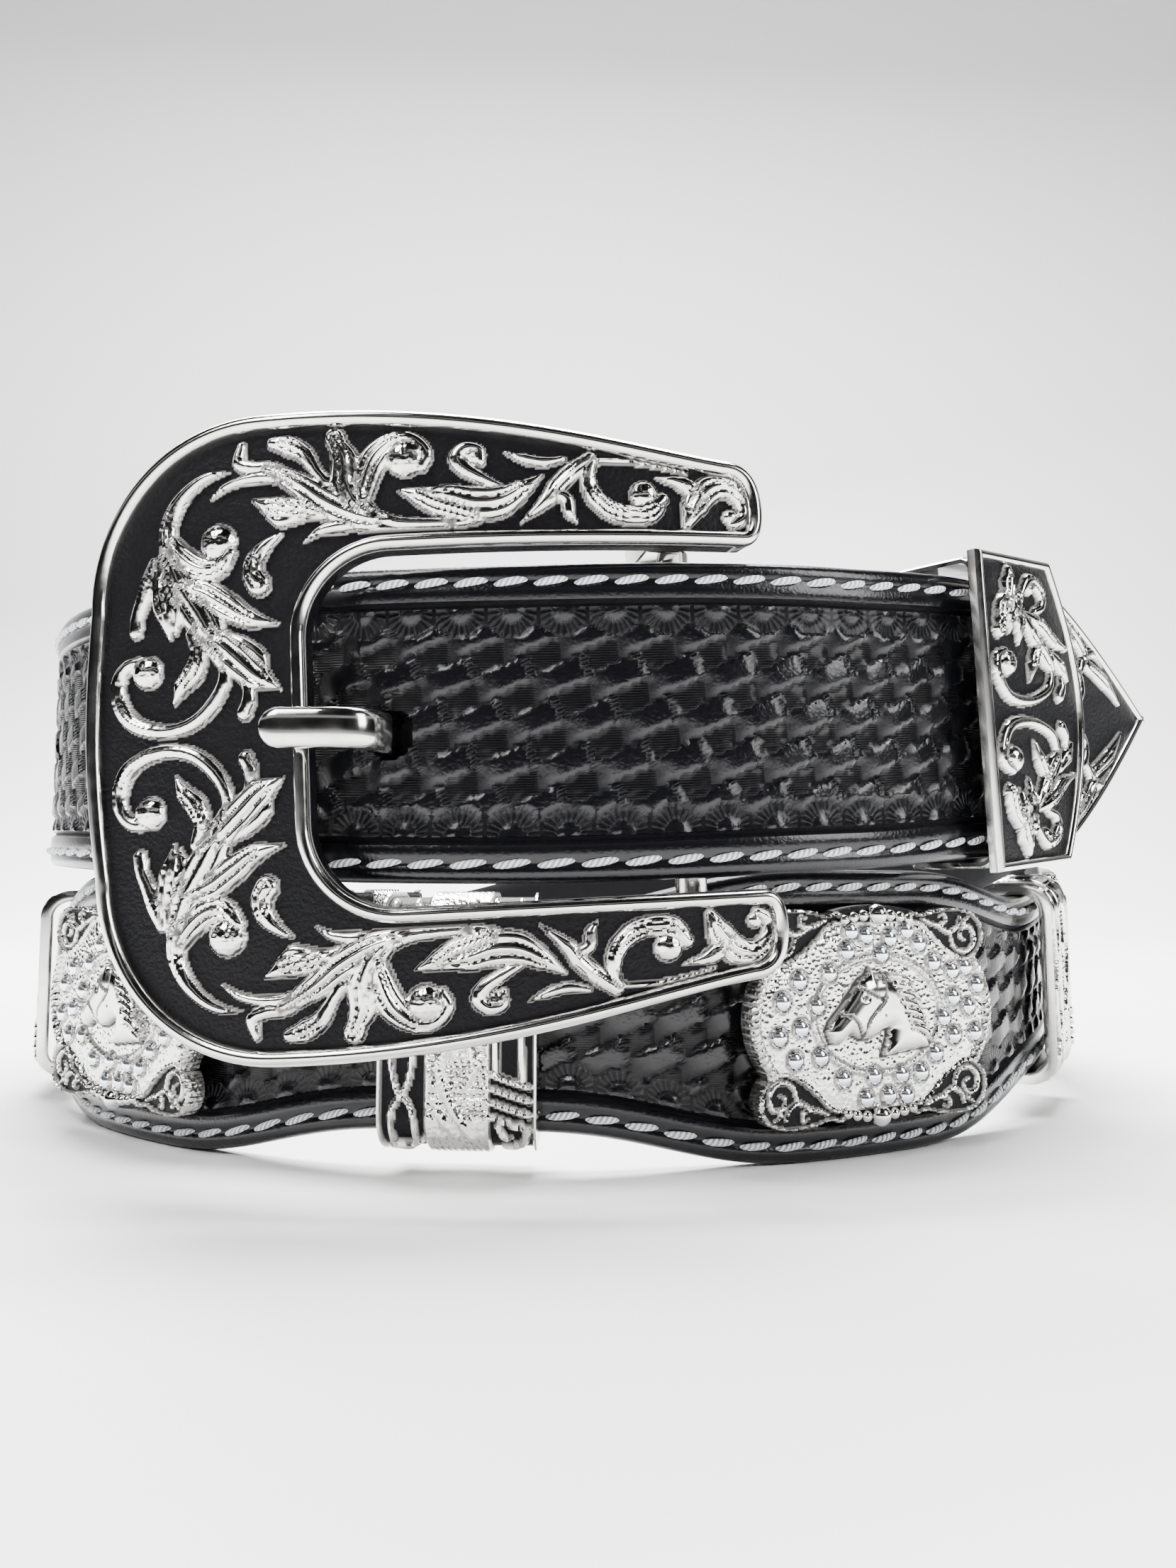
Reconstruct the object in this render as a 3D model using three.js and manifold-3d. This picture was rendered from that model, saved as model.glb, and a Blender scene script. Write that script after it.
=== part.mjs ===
// A western belt of black tooled leather with silver fittings, buckled and wound in two turns on its
// lower edge. The buckle faces -Y, +X runs to the right seen from the front, +Z is up, in millimetres.
// The belt starts as a fold round the buckle's heel bar in the upper turn, goes back and down to the
// lower turn, once round the front there, up again behind, and through the buckle to its metal tip.

import * as THREE from 'three';
import { mergeVertices } from 'three/addons/utils/BufferGeometryUtils.js';
import Module from 'manifold-3d';

const wasm = await Module();
wasm.setup();

// Driving dimensions
const STRAP_HALF_WIDTH = 19.05;
const STRAP_NARROW_HALF_WIDTH = 13.8;
const STRAP_THICKNESS = 4;
const STRAP_EDGE_BEVEL = 1;
const FOLD_THICKNESS = 2.4;
const FOLD_SKIVE_LENGTH = 25;
const CHAPE_LENGTH = 24;
const CHAPE_HALF_WIDTH = 15;
const TRIM_PITCH = 54.5;
const SCALLOP_REACH = 5 * TRIM_PITCH;
const MIDDLE_ANGLE = 353.8;
const TIP_REACHES = [12, 17, 23, 29, 35, 40, 43.5];
const STRAIGHT_ANGLE = 762;
const END_SLOPE = 0.085;
const END_LENGTH = 46.5;
const TIP_START = TIP_REACHES[0];
const TIP_HALF_WIDTH = 20.4;
const CLEARANCE = 0.3;
const HOLE_PITCH = 25.4;
const HOLE_RADIUS = 2.2;
const HOLE_COUNT = 4;

const PLATE = { back: -2.2, rim: 1.2, rimWidth: 1.5, relief: 1.3 };
const BUCKLE = { x: -20, y: -2.5, z: 54.3, tilt: 0.05, bend: 140 };
const BUCKLE_LEFT = -40.4;
const OPENING_HALF_HEIGHT = 20.7;
const OPENING_LEFT = -12.3;
const HEEL_BAR_RADIUS = 2;
const PRONG_HEIGHT = 53.8;
const PRONG_WIDTH = 4.8;
const PRONG_THICKNESS = 2.4;

const KEEPER = { start: -7.3, bandStart: 1, bandWidth: 12, side: 19.5, bulge: 26.8, halfHeight: 21.3 };
const KEEPER_BAND_HALF_HEIGHT = 20.9;
const KEEPER_RAISE = 0.5;
const KEEPER_WALL = 1;
const KEEPER_FRONT_GAP = 2.6;
const SLIDE = { width: 19.6, halfHeight: 15.6, wall: 1.3, front: 3.6, back: -6.2, corner: 4, bend: 94 };
const CONCHO = { halfLength: 20, halfHeight: 14.4, thickness: 2.4 };
const STONE_COUNT = 8;

const LEATHER = { color: 0x0c0c0e, roughness: 0.42, metalness: 0 };
const SILVER = { color: 0xd9d6cf, roughness: 0.2, metalness: 1 };

// The winding. Each row gives, at an angle in degrees counted from the front towards +X, the centre
// and radius of the turn's outer face and the height of the strap's middle. Rows join smoothly.
const WINDING = [
  { angle: 0, centreX: -5, centreY: 89.5, radius: 84.9, height: 55.3 },
  { angle: 25, centreX: -5, centreY: 89.5, radius: 84.9, height: 57 },
  { angle: 42, centreX: -5, centreY: 89.5, radius: 84.9, height: 58.8 },
  { angle: 60, centreX: -5, centreY: 89.5, radius: 84.9, height: 60 },
  { angle: 195, centreX: -5, centreY: 95, radius: 88, height: 19.05 },
  { angle: 215, centreX: -5, centreY: 98, radius: 88.5, height: 19.05 },
  { angle: 290, centreX: -5.5, centreY: 108.5, radius: 93.5, height: 19.05 },
  { angle: 350, centreX: -5.5, centreY: 108.5, radius: 95.5, height: 19.05 },
  { angle: 395, centreX: -5.5, centreY: 108.5, radius: 95.5, height: 19.05 },
  { angle: 425, centreX: -5.5, centreY: 108.5, radius: 93.2, height: 22 },
  { angle: 575, centreX: -5, centreY: 98, radius: 95, height: 58.7 },
  { angle: 640, centreX: -5, centreY: 89.5, radius: 89.5, height: 58.7 },
  { angle: 715, centreX: -5, centreY: 89.5, radius: 89.5, height: 55.2 },
  { angle: 745, centreX: -5, centreY: 89.5, radius: 89.5, height: 57 },
  { angle: 765, centreX: -5, centreY: 89.5, radius: 89.5, height: 59.1 },
];

function smoothBlend(low, high, value) {
  return THREE.MathUtils.smoothstep(value, low, high);
}

// The slope at a row: none at a peak or on a level stretch, and between its neighbours' elsewhere
function slopeAt(index, name) {
  const rise = (i) => {
    const [row, next] = [WINDING[i], WINDING[i + 1]];
    return row && next ? (next[name] - row[name]) / (next.angle - row.angle) : 0;
  };
  const [before, after] = [rise(index - 1), rise(index)];
  return before * after > 0 ? (2 * before * after) / (before + after) : 0;
}

function windingValue(name, angle) {
  const index = Math.max(WINDING.findIndex((row) => row.angle >= angle), 1) - 1;
  const [row, next] = [WINDING[index], WINDING[index + 1]];
  const span = next.angle - row.angle;
  const t = (angle - row.angle) / span;
  const [leave, arrive] = [slopeAt(index, name) * span, slopeAt(index + 1, name) * span];
  const rise = next[name] - row[name];
  return row[name] + t * (leave + t * (3 * rise - 2 * leave - arrive + t * (leave + arrive - 2 * rise)));
}

function windingPoint(angle) {
  const turn = THREE.MathUtils.degToRad(angle);
  const radius = windingValue('radius', angle);
  return new THREE.Vector3(
    windingValue('centreX', angle) + radius * Math.sin(turn),
    windingValue('centreY', angle) - radius * Math.cos(turn),
    windingValue('height', angle),
  );
}

// A frame on the strap's outer face: along the strap, inward and up, in that order.
function frameFrom(origin, along) {
  const flat = new THREE.Vector3(along.x, along.y, 0).normalize();
  const inward = new THREE.Vector3(-flat.y, flat.x, 0);
  const forward = along.clone().normalize();
  const up = new THREE.Vector3().crossVectors(forward, inward);
  return { origin, along: forward, inward, up };
}

function frameAtAngle(angle) {
  const step = 0.05;
  const along = windingPoint(angle + step).sub(windingPoint(angle - step));
  return frameFrom(windingPoint(angle), along);
}

function matrixOf(frame) {
  const matrix = new THREE.Matrix4().makeBasis(frame.along, frame.inward, frame.up);
  return matrix.setPosition(frame.origin);
}

function movedFrame(frame, along, inward) {
  const origin = frame.origin.clone().addScaledVector(frame.along, along);
  origin.addScaledVector(frame.inward, inward);
  return { ...frame, origin };
}

// Arc lengths along the outer face, one entry for each degree of the winding
const FIRST_ANGLE = 12.2;
const arcTable = [{ angle: FIRST_ANGLE, length: 0 }];
while (arcTable.at(-1).angle < STRAIGHT_ANGLE) {
  const last = arcTable.at(-1);
  const angle = Math.min(last.angle + 1, STRAIGHT_ANGLE);
  const chord = windingPoint(angle).distanceTo(windingPoint(last.angle));
  arcTable.push({ angle, length: last.length + chord });
}

function arcAt(angle) {
  const after = arcTable.find((row) => row.angle >= angle);
  return after.length - (after.angle - angle) * (Math.PI / 180) * windingRadius(angle);
}

function windingRadius(angle) {
  return windingPoint(angle + 0.5).distanceTo(windingPoint(angle - 0.5)) * (180 / Math.PI);
}

const MIDDLE_ARC = arcAt(MIDDLE_ANGLE);
const STRAIGHT_ARC = arcTable.at(-1).length;

// The frame at a distance from the middle of the belt, measured along the outer face
function frameAt(distance) {
  const length = MIDDLE_ARC + distance;
  if (length >= STRAIGHT_ARC) return movedFrame(endFrame, length - STRAIGHT_ARC, 0);
  const index = Math.max(arcTable.findIndex((row) => row.length >= length), 1);
  const [last, next] = [arcTable[index - 1], arcTable[index]];
  const share = (length - last.length) / (next.length - last.length);
  return frameAtAngle(THREE.MathUtils.lerp(last.angle, next.angle, share));
}

const bentEnd = frameAtAngle(STRAIGHT_ANGLE);
const endFrame = frameFrom(
  bentEnd.origin,
  new THREE.Vector3(bentEnd.along.x, bentEnd.along.y, 0).normalize().setZ(END_SLOPE),
);

// Manifold solids from three.js geometries, and back again
function solid(geometry) {
  const bare = geometry.index ? geometry.toNonIndexed() : geometry.clone();
  bare.deleteAttribute('normal');
  bare.deleteAttribute('uv');
  const merged = mergeVertices(bare, 1e-4);
  return new wasm.Manifold(new wasm.Mesh({
    numProp: 3,
    vertProperties: Float32Array.from(merged.attributes.position.array),
    triVerts: Uint32Array.from(merged.index.array),
  }));
}

function geometryOf(body) {
  const mesh = body.getMesh();
  const geometry = new THREE.BufferGeometry();
  geometry.setAttribute('position', new THREE.BufferAttribute(mesh.vertProperties, 3));
  geometry.setIndex(new THREE.BufferAttribute(mesh.triVerts, 1));
  return geometry;
}

function joined(geometries) {
  return geometries.map(solid).reduce((whole, next) => whole.add(next));
}

// Flat pieces are drawn with x along the strap, y up and z outward from the strap's face.
function plate(shape, back, front, curveSegments = 6) {
  const geometry = new THREE.ExtrudeGeometry(shape, {
    depth: front - back,
    bevelEnabled: false,
    curveSegments,
  });
  return geometry.translate(0, 0, back);
}

function bent(geometry, radius) {
  const position = geometry.attributes.position;
  for (let i = 0; i < position.count; i += 1) {
    const angle = position.getX(i) / radius;
    const reach = radius + position.getZ(i);
    position.setX(i, reach * Math.sin(angle));
    position.setZ(i, reach * Math.cos(angle) - radius);
  }
  return geometry;
}

function standing(geometry) {
  return geometry.rotateX(Math.PI / 2);
}

// A raised stem: a low rounded ridge along a smooth line, as wide as its widths say on the way
function stem(points, widths, height) {
  const curve = new THREE.SplineCurve(points.map(([x, y]) => new THREE.Vector2(x, y)));
  const steps = points.length;
  const profile = [[-1, -1], [1, -1], [0, 1]];
  const positions = [];
  for (let i = 0; i <= steps; i += 1) {
    const at = curve.getPoint(i / steps);
    const ahead = curve.getTangent(i / steps);
    const place = (i / steps) * (widths.length - 1);
    const left = Math.min(Math.floor(place), widths.length - 2);
    const half = THREE.MathUtils.lerp(widths[left], widths[left + 1], place - left) / 2;
    for (const [side, rise] of profile) {
      const lift = rise > 0 ? height * Math.min(1, 0.45 + half / 1.6) : 0;
      positions.push(at.x - ahead.y * side * half, at.y + ahead.x * side * half, lift);
    }
  }
  const sides = profile.length;
  const index = [2, 1, 0];
  for (let i = 0; i < steps; i += 1) {
    for (let j = 0; j < sides; j += 1) {
      const [a, b] = [i * sides + j, i * sides + ((j + 1) % sides)];
      index.push(a, b, b + sides, a, b + sides, a + sides);
    }
  }
  const end = steps * sides;
  index.push(end, end + 1, end + 2);
  const geometry = new THREE.BufferGeometry();
  geometry.setAttribute('position', new THREE.Float32BufferAttribute(positions, 3));
  return geometry.setIndex(index);
}

function ball(x, y, radius, lift = 0) {
  return new THREE.SphereGeometry(radius, 8, 4).scale(1, 1, 0.75).translate(x, y, lift);
}

// The strap
function tipHalfWidth(reach) {
  const share = THREE.MathUtils.clamp((reach - TIP_START) / (END_LENGTH - TIP_START), 0, 1);
  return TIP_HALF_WIDTH * (1 - share ** 1.3);
}

function scallopedHalfWidth(distance) {
  if (Math.abs(distance) > SCALLOP_REACH) return STRAP_HALF_WIDTH;
  const wave = (1 + Math.cos((distance * Math.PI) / TRIM_PITCH)) / 2;
  const valley = smoothBlend(0.05, 1, wave);
  return THREE.MathUtils.lerp(STRAP_HALF_WIDTH, STRAP_NARROW_HALF_WIDTH, valley);
}

const heelBarFrame = movedFrame(
  frameAtAngle(FIRST_ANGLE),
  0,
  FOLD_THICKNESS + CLEARANCE + HEEL_BAR_RADIUS,
);

function strapStations() {
  const stations = [];
  const start = frameAtAngle(FIRST_ANGLE);
  const fold = HEEL_BAR_RADIUS + CLEARANCE;
  const back = movedFrame(heelBarFrame, 0, fold);
  const turned = (frame) => ({
    origin: frame.origin,
    along: frame.along.clone().negate(),
    inward: frame.inward.clone().negate(),
    up: frame.up,
  });
  for (const reach of [CHAPE_LENGTH, CHAPE_LENGTH / 2]) {
    const frame = turned(movedFrame(back, reach, FOLD_THICKNESS));
    stations.push({ frame, half: CHAPE_HALF_WIDTH, thickness: FOLD_THICKNESS });
  }
  const foldSteps = 6;
  for (let i = 0; i < foldSteps; i += 1) {
    const turn = Math.PI * (1 - i / foldSteps);
    const inward = start.inward.clone().applyAxisAngle(start.up, turn);
    const along = start.along.clone().applyAxisAngle(start.up, turn);
    const origin = heelBarFrame.origin.clone();
    origin.addScaledVector(inward, -(fold + FOLD_THICKNESS));
    const frame = { origin, along, inward, up: start.up };
    const half = THREE.MathUtils.lerp(CHAPE_HALF_WIDTH, STRAP_HALF_WIDTH, i / foldSteps);
    stations.push({ frame, half, thickness: FOLD_THICKNESS });
  }
  const bodySteps = 118;
  const bodyLength = STRAIGHT_ARC;
  for (let i = 0; i < bodySteps; i += 1) {
    const length = (i / bodySteps) * bodyLength;
    const distance = length - MIDDLE_ARC;
    const thick = smoothBlend(0, FOLD_SKIVE_LENGTH, length);
    stations.push({
      frame: frameAt(distance),
      half: scallopedHalfWidth(distance),
      thickness: THREE.MathUtils.lerp(FOLD_THICKNESS, STRAP_THICKNESS, thick),
    });
  }
  for (const reach of [0, ...TIP_REACHES]) {
    const half = Math.min(STRAP_HALF_WIDTH, tipHalfWidth(reach) - 1.35);
    stations.push({ frame: movedFrame(endFrame, reach, 0), half, thickness: STRAP_THICKNESS });
  }
  return stations;
}

// The strap's section is a rectangle whose outer edges are bevelled, x inward and y up, of half
// height one.
function strapGeometry() {
  const stations = strapStations();
  const section = new THREE.Shape([
    [0, -0.9], [0, 0.9], [0.25, 1], [1, 1], [1, -1], [0.25, -1],
  ].map(([x, y]) => new THREE.Vector2(x, y)));
  const steps = stations.length - 1;
  const geometry = new THREE.ExtrudeGeometry(section, { depth: steps, steps, bevelEnabled: false });
  const position = geometry.attributes.position;
  for (let i = 0; i < position.count; i += 1) {
    const { frame, half, thickness } = stations[Math.round(position.getZ(i))];
    const upward = position.getY(i);
    const edge = Math.abs(upward) === 1 ? half : half - STRAP_EDGE_BEVEL;
    const point = frame.origin.clone();
    point.addScaledVector(frame.inward, position.getX(i) * thickness);
    point.addScaledVector(frame.up, Math.sign(upward) * edge);
    position.setXYZ(i, point.x, point.y, point.z);
  }
  return geometry;
}

function beltStrap() {
  let body = solid(strapGeometry());
  const prongHole = new THREE.BoxGeometry(5.6, 14, PRONG_WIDTH + 0.8).translate(-23.6, 3, PRONG_HEIGHT);
  body = body.subtract(solid(prongHole));
  const foldSlot = new THREE.BoxGeometry(14, 13.6, PRONG_WIDTH + 1.4).translate(-1, -0.2, 0);
  const slotFrame = { ...heelBarFrame, origin: heelBarFrame.origin.clone().setZ(PRONG_HEIGHT) };
  body = body.subtract(solid(foldSlot.applyMatrix4(matrixOf(slotFrame))));
  const prongHoleArc = arcAt(720 - 12) - MIDDLE_ARC;
  for (let i = 1; i <= HOLE_COUNT; i += 1) {
    const punch = new THREE.CylinderGeometry(HOLE_RADIUS, HOLE_RADIUS, 12, 10);
    punch.applyMatrix4(matrixOf(frameAt(prongHoleArc - i * HOLE_PITCH)));
    body = body.subtract(solid(punch));
  }
  return geometryOf(body);
}

// Ornament. Each row is a raised stem: its points across the buckle's upper half in millimetres and
// its widths from start to end. A row with a ball ends in a round bead at that place.
const BUCKLE_SCROLLS = [
  { points: [[-21.5, 8], [-22, 4.5], [-26, 1.3], [-31, 1], [-34, 4.5], [-33, 7.5]], widths: [1.6, 2.2, 2.2, 1.8, 1.4] },
  { points: [[-27.5, 24.5], [-26.5, 20], [-23.5, 14], [-20.5, 9]], widths: [1.4, 2.6, 3, 1.6] },
  { points: [[-24.5, 17.5], [-20, 15.3], [-14.5, 12]], widths: [2.6, 3.2, 0.5] },
  { points: [[-21.5, 11], [-18, 8], [-15.5, 4.5]], widths: [2.4, 3.4, 0.5] },
  { points: [[-23.5, 11.5], [-24, 8], [-27.5, 3.8]], widths: [1.4, 2.6, 0.4] },
  { points: [[-27.5, 20], [-30, 16.5], [-31.5, 13.5]], widths: [2.4, 2, 1.6] },
  { points: [[-27.5, 22.5], [-26.5, 26.5], [-23.5, 30.7], [-19, 32]], widths: [2.2, 1.8, 1.6, 0.5] },
  { points: [[-27, 22.5], [-24, 20.5], [-20.5, 22]], widths: [2.2, 2.8, 2.4] },
  { points: [[-13.5, 23], [-16.5, 20.5], [-16, 16.5]], widths: [1.2, 2.8, 2.6] },
  { points: [[-6, 24.5], [-10.5, 29.5], [-16, 32.3], [-17, 34.5]], widths: [2.8, 2.6, 1.6, 2.2] },
  { points: [[-7.5, 28.5], [-9.8, 32.8], [-13.5, 34.8]], widths: [1.6, 2.4, 3] },
  { points: [[-5.5, 26], [-7, 30.5], [-5.8, 34.8]], widths: [2.2, 1.8, 2.6] },
  { points: [[0, 23.3], [-3.8, 27], [-3, 31.5], [1, 33]], widths: [2.4, 3.6, 4.6, 3.4] },
  { points: [[-6, 24.5], [-11, 26.2], [-16, 28]], widths: [2.4, 2.8, 0.6] },
  { points: [[-6, 25], [-2.5, 23.2], [4, 22.7], [10, 23.7], [16, 26.5], [20, 29.5]], widths: [2.4, 2, 2, 3, 3.2, 0.6] },
  { points: [[12.5, 24.5], [6, 25.8], [0, 27]], widths: [2.6, 3.2, 0.6] },
  { points: [[14.5, 27.3], [10, 27.5], [7.3, 29.3], [8, 31.3]], widths: [1.6, 2.2, 1.8, 1.8] },
  { points: [[22, 28.8], [18, 26.3], [13.5, 22]], widths: [2.2, 2.4, 0.5] },
  { points: [[28, 29], [22.5, 28.5], [21.2, 25], [24.5, 22], [28.5, 22.7], [29.3, 25.5], [27, 26.5]], widths: [0.6, 1.4, 1.8, 2.2, 2.4, 2] },
  { points: [[29.5, 27], [34.5, 27], [38.3, 25], [38.6, 22], [36.6, 22.4]], widths: [0.8, 2.6, 2.2, 1.6, 1.2] },
  { points: [[35.5, 26], [33.7, 23.7], [32, 21.6]], widths: [2.4, 1.8, 0.6] },
];
const BUCKLE_BALLS = [
  { x: -31, y: 7.8, radius: 2.3 },
  { x: -20.6, y: 23, radius: 2.8 },
  { x: 1.5, y: 31.2, radius: 2.6 },
  { x: 9, y: 31, radius: 1.8 },
  { x: 26.8, y: 26.3, radius: 1.7 },
  { x: 36.8, y: 22.6, radius: 1.3 },
];

function mirroredPair(geometry) {
  const below = geometry.clone().scale(1, -1, 1);
  const index = below.index.array;
  for (let i = 0; i < index.length; i += 3) {
    [index[i], index[i + 1]] = [index[i + 1], index[i]];
  }
  return [geometry, below];
}

function ornament(scrolls, balls) {
  const stems = scrolls.map((row) => stem(row.points, row.widths, PLATE.relief));
  const beads = balls.map((row) => ball(row.x, row.y, row.radius));
  return [...stems, ...beads].flatMap(mirroredPair);
}

// The buckle: a horseshoe with two long arms. Its outline is drawn once inside another for the rim.
function buckleShape(inset) {
  const shape = new THREE.Shape();
  const armEnd = 43.1 - inset;
  const low = OPENING_HALF_HEIGHT + inset;
  const cornerX = -17.3;
  const cornerY = 16;
  const cornerRadius = 22 - inset;
  const left = BUCKLE_LEFT + inset;
  shape.moveTo(armEnd - 3, low);
  shape.quadraticCurveTo(armEnd, low, armEnd, 25);
  shape.quadraticCurveTo(armEnd, 31.2 - inset, armEnd - 5, 31.3 - inset);
  shape.bezierCurveTo(25, 33 - inset, 8, 38.2 - inset, cornerX, cornerY + cornerRadius);
  shape.absarc(cornerX, cornerY, cornerRadius, Math.PI / 2, Math.PI, false);
  shape.quadraticCurveTo(left, 7, left, 0);
  shape.quadraticCurveTo(left, -7, cornerX - cornerRadius, -cornerY);
  shape.absarc(cornerX, -cornerY, cornerRadius, Math.PI, 1.5 * Math.PI, false);
  shape.bezierCurveTo(8, inset - 38.2, 25, inset - 33, armEnd - 5, inset - 31.3);
  shape.quadraticCurveTo(armEnd, inset - 31.2, armEnd, -25);
  shape.quadraticCurveTo(armEnd, -low, armEnd - 3, -low);
  const innerCorner = 10 + inset;
  const inner = OPENING_LEFT - inset;
  shape.lineTo(inner + innerCorner, -low);
  shape.absarc(inner + innerCorner, innerCorner - low, innerCorner, 1.5 * Math.PI, Math.PI, true);
  shape.absarc(inner + innerCorner, low - innerCorner, innerCorner, Math.PI, Math.PI / 2, true);
  return shape;
}

// The place of a world point in the plate space of the buckle, before the plate is bent
function heelBarPlace() {
  const { origin } = heelBarFrame;
  return { x: origin.x - BUCKLE.x, z: BUCKLE.y - origin.y };
}

function buckleFrame() {
  const rim = solid(plate(buckleShape(0), PLATE.back, PLATE.rim, 4));
  const well = solid(plate(buckleShape(PLATE.rimWidth), 0, PLATE.rim + 1, 4));
  let body = rim.subtract(well);
  body = body.add(joined(ornament(BUCKLE_SCROLLS, BUCKLE_BALLS)));
  const curved = solid(bent(geometryOf(body), BUCKLE.bend));
  const bar = heelBarPlace();
  const barLength = 2 * (OPENING_HALF_HEIGHT + 3);
  const heelBar = new THREE.CylinderGeometry(HEEL_BAR_RADIUS, HEEL_BAR_RADIUS, barLength, 12);
  heelBar.translate(bar.x, 0, bar.z);
  const postFront = -5.2;
  const postDepth = postFront - bar.z + HEEL_BAR_RADIUS;
  const posts = [-1, 1].map((side) => {
    const post = new THREE.BoxGeometry(5, 3.6, postDepth);
    return post.translate(bar.x, side * (OPENING_HALF_HEIGHT + 2.4), postFront - postDepth / 2);
  });
  return standing(geometryOf(curved.add(joined([heelBar, ...posts]))));
}

// The prong: a flat bar from a ring round the heel bar, under the strap and out through its hole
function prongGeometry() {
  const { origin } = heelBarFrame;
  const ringRadius = HEEL_BAR_RADIUS + CLEARANCE + 1.5;
  const line = new THREE.CatmullRomCurve3([
    [origin.x, origin.y - 3], [4, 7.4], [-6, 7.4], [-14, 8], [-19, 8.5], [-21.8, 7.6],
    [-23, 5.4], [-23.5, 2.4], [-24.3, -1.3], [-26.4, -4.2], [-30.3, -5.1], [-37.3, -4.9],
  ].map(([x, y]) => new THREE.Vector3(x, y, 0)), false, 'catmullrom', 0.5);
  const steps = 18;
  const front = [];
  const back = [];
  for (let i = 0; i <= steps; i += 1) {
    const at = line.getPointAt(i / steps);
    const ahead = line.getTangentAt(i / steps);
    const side = new THREE.Vector2(-ahead.y, ahead.x).multiplyScalar(PRONG_THICKNESS / 2);
    front.push(new THREE.Vector2(at.x - side.x, at.y - side.y));
    back.push(new THREE.Vector2(at.x + side.x, at.y + side.y));
  }
  const outline = new THREE.Shape([...front, ...back.reverse()]);
  const shank = new THREE.ExtrudeGeometry(outline, { depth: PRONG_WIDTH, bevelEnabled: false });
  shank.translate(0, 0, PRONG_HEIGHT - PRONG_WIDTH / 2);
  const turned = (radius, height) => {
    const wheel = new THREE.CylinderGeometry(radius, radius, height, 16).rotateX(Math.PI / 2);
    return solid(wheel.translate(origin.x, origin.y, PRONG_HEIGHT));
  };
  const rounding = new THREE.CylinderGeometry(PRONG_WIDTH / 2, PRONG_WIDTH / 2, 16, 12);
  const tipBox = new THREE.BoxGeometry(80, 40, 20).translate(-34.9 + 40, 4, PRONG_HEIGHT);
  const keep = solid(tipBox).add(solid(rounding.translate(-34.9, 0, PRONG_HEIGHT)));
  const shaped = solid(shank).intersect(keep);
  const ring = shaped.add(turned(ringRadius, PRONG_WIDTH));
  return geometryOf(ring.subtract(turned(HEEL_BAR_RADIUS + CLEARANCE, PRONG_WIDTH + 2)));
}

// The keeper: a loop round both layers, with a shield-shaped front whose right side bulges
const KEEPER_SCROLLS = [
  { points: [[8.5, 1.5], [12.5, 1.4], [14.5, 4.5], [13.8, 7]], widths: [1, 1.6, 1.6, 1] },
  { points: [[8.5, 1.5], [5.3, 4], [5, 8], [7, 9.8]], widths: [1, 1.8, 1.8, 1.6] },
  { points: [[14.5, 6], [15.5, 10.5], [12.5, 14.5], [8, 17]], widths: [1, 2.2, 2.4, 1] },
  { points: [[15, 9], [19.5, 8], [23, 9.5]], widths: [1.6, 2.4, 0.5] },
  { points: [[15, 8], [19, 4.5], [23.5, 3]], widths: [1.2, 2, 0.5] },
  { points: [[8.5, 12], [6, 14.8], [7.5, 18.8]], widths: [2, 2.8, 0.8] },
  { points: [[12, 14], [14.5, 17.5], [17, 16.6]], widths: [1.2, 1.8, 2] },
];
const KEEPER_BALLS = [
  { x: 7.2, y: 9.8, radius: 1.6 },
  { x: 16.8, y: 16.2, radius: 1.5 },
];

function keeperShape(inset) {
  const shape = new THREE.Shape();
  const top = KEEPER.halfHeight - inset;
  shape.moveTo(inset, -top);
  shape.lineTo(KEEPER.side - inset, -top);
  shape.quadraticCurveTo(KEEPER.bulge - inset, -top * 0.42, KEEPER.bulge - inset, 0);
  shape.quadraticCurveTo(KEEPER.bulge - inset, top * 0.42, KEEPER.side - inset, top);
  shape.lineTo(inset, top);
  return shape;
}

function keeperLoop() {
  const ground = KEEPER_FRONT_GAP + KEEPER_WALL;
  const rim = solid(plate(keeperShape(0), -KEEPER_WALL, 0.8));
  const front = rim.subtract(solid(plate(keeperShape(1.2), 0, 2)));
  const face = front.add(joined(ornament(KEEPER_SCROLLS, KEEPER_BALLS)));
  const raised = solid(geometryOf(face).translate(0, 0, ground));
  const innerBack = -(2 * STRAP_THICKNESS + 1.1);
  const outerBack = innerBack - KEEPER_WALL;
  const middle = KEEPER.bandStart + KEEPER.bandWidth / 2;
  const band = (halfHeight, back, width) => {
    const depth = KEEPER_FRONT_GAP + KEEPER_WALL / 2 - back;
    const box = new THREE.BoxGeometry(width, 2 * halfHeight, depth);
    return solid(box.translate(middle, 0, back + depth / 2));
  };
  const outer = band(KEEPER_BAND_HALF_HEIGHT, outerBack, KEEPER.bandWidth);
  const inner = band(KEEPER_BAND_HALF_HEIGHT - KEEPER_WALL, innerBack, KEEPER.bandWidth + 2);
  return standing(geometryOf(outer.subtract(inner).add(raised)));
}

// The metal tip: a pointed cap over the strap's end
const TIP_SCROLLS = [
  { points: [[17, 1.6], [21, 1.4], [24.5, 3.6], [24, 6.6], [21, 7]], widths: [1, 1.6, 1.8, 1.8, 1.4] },
  { points: [[24.5, 6.5], [26, 10], [22, 13.5], [16, 16]], widths: [1.2, 2.4, 2.6, 0.8] },
  { points: [[27.5, 8], [32.5, 5.5], [37, 2]], widths: [2, 2.2, 0.6] },
  { points: [[17.5, 6], [19, 10], [16, 12.5]], widths: [1, 2, 1] },
];
const TIP_BALLS = [{ x: 21, y: 6.4, radius: 1.7 }];

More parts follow.
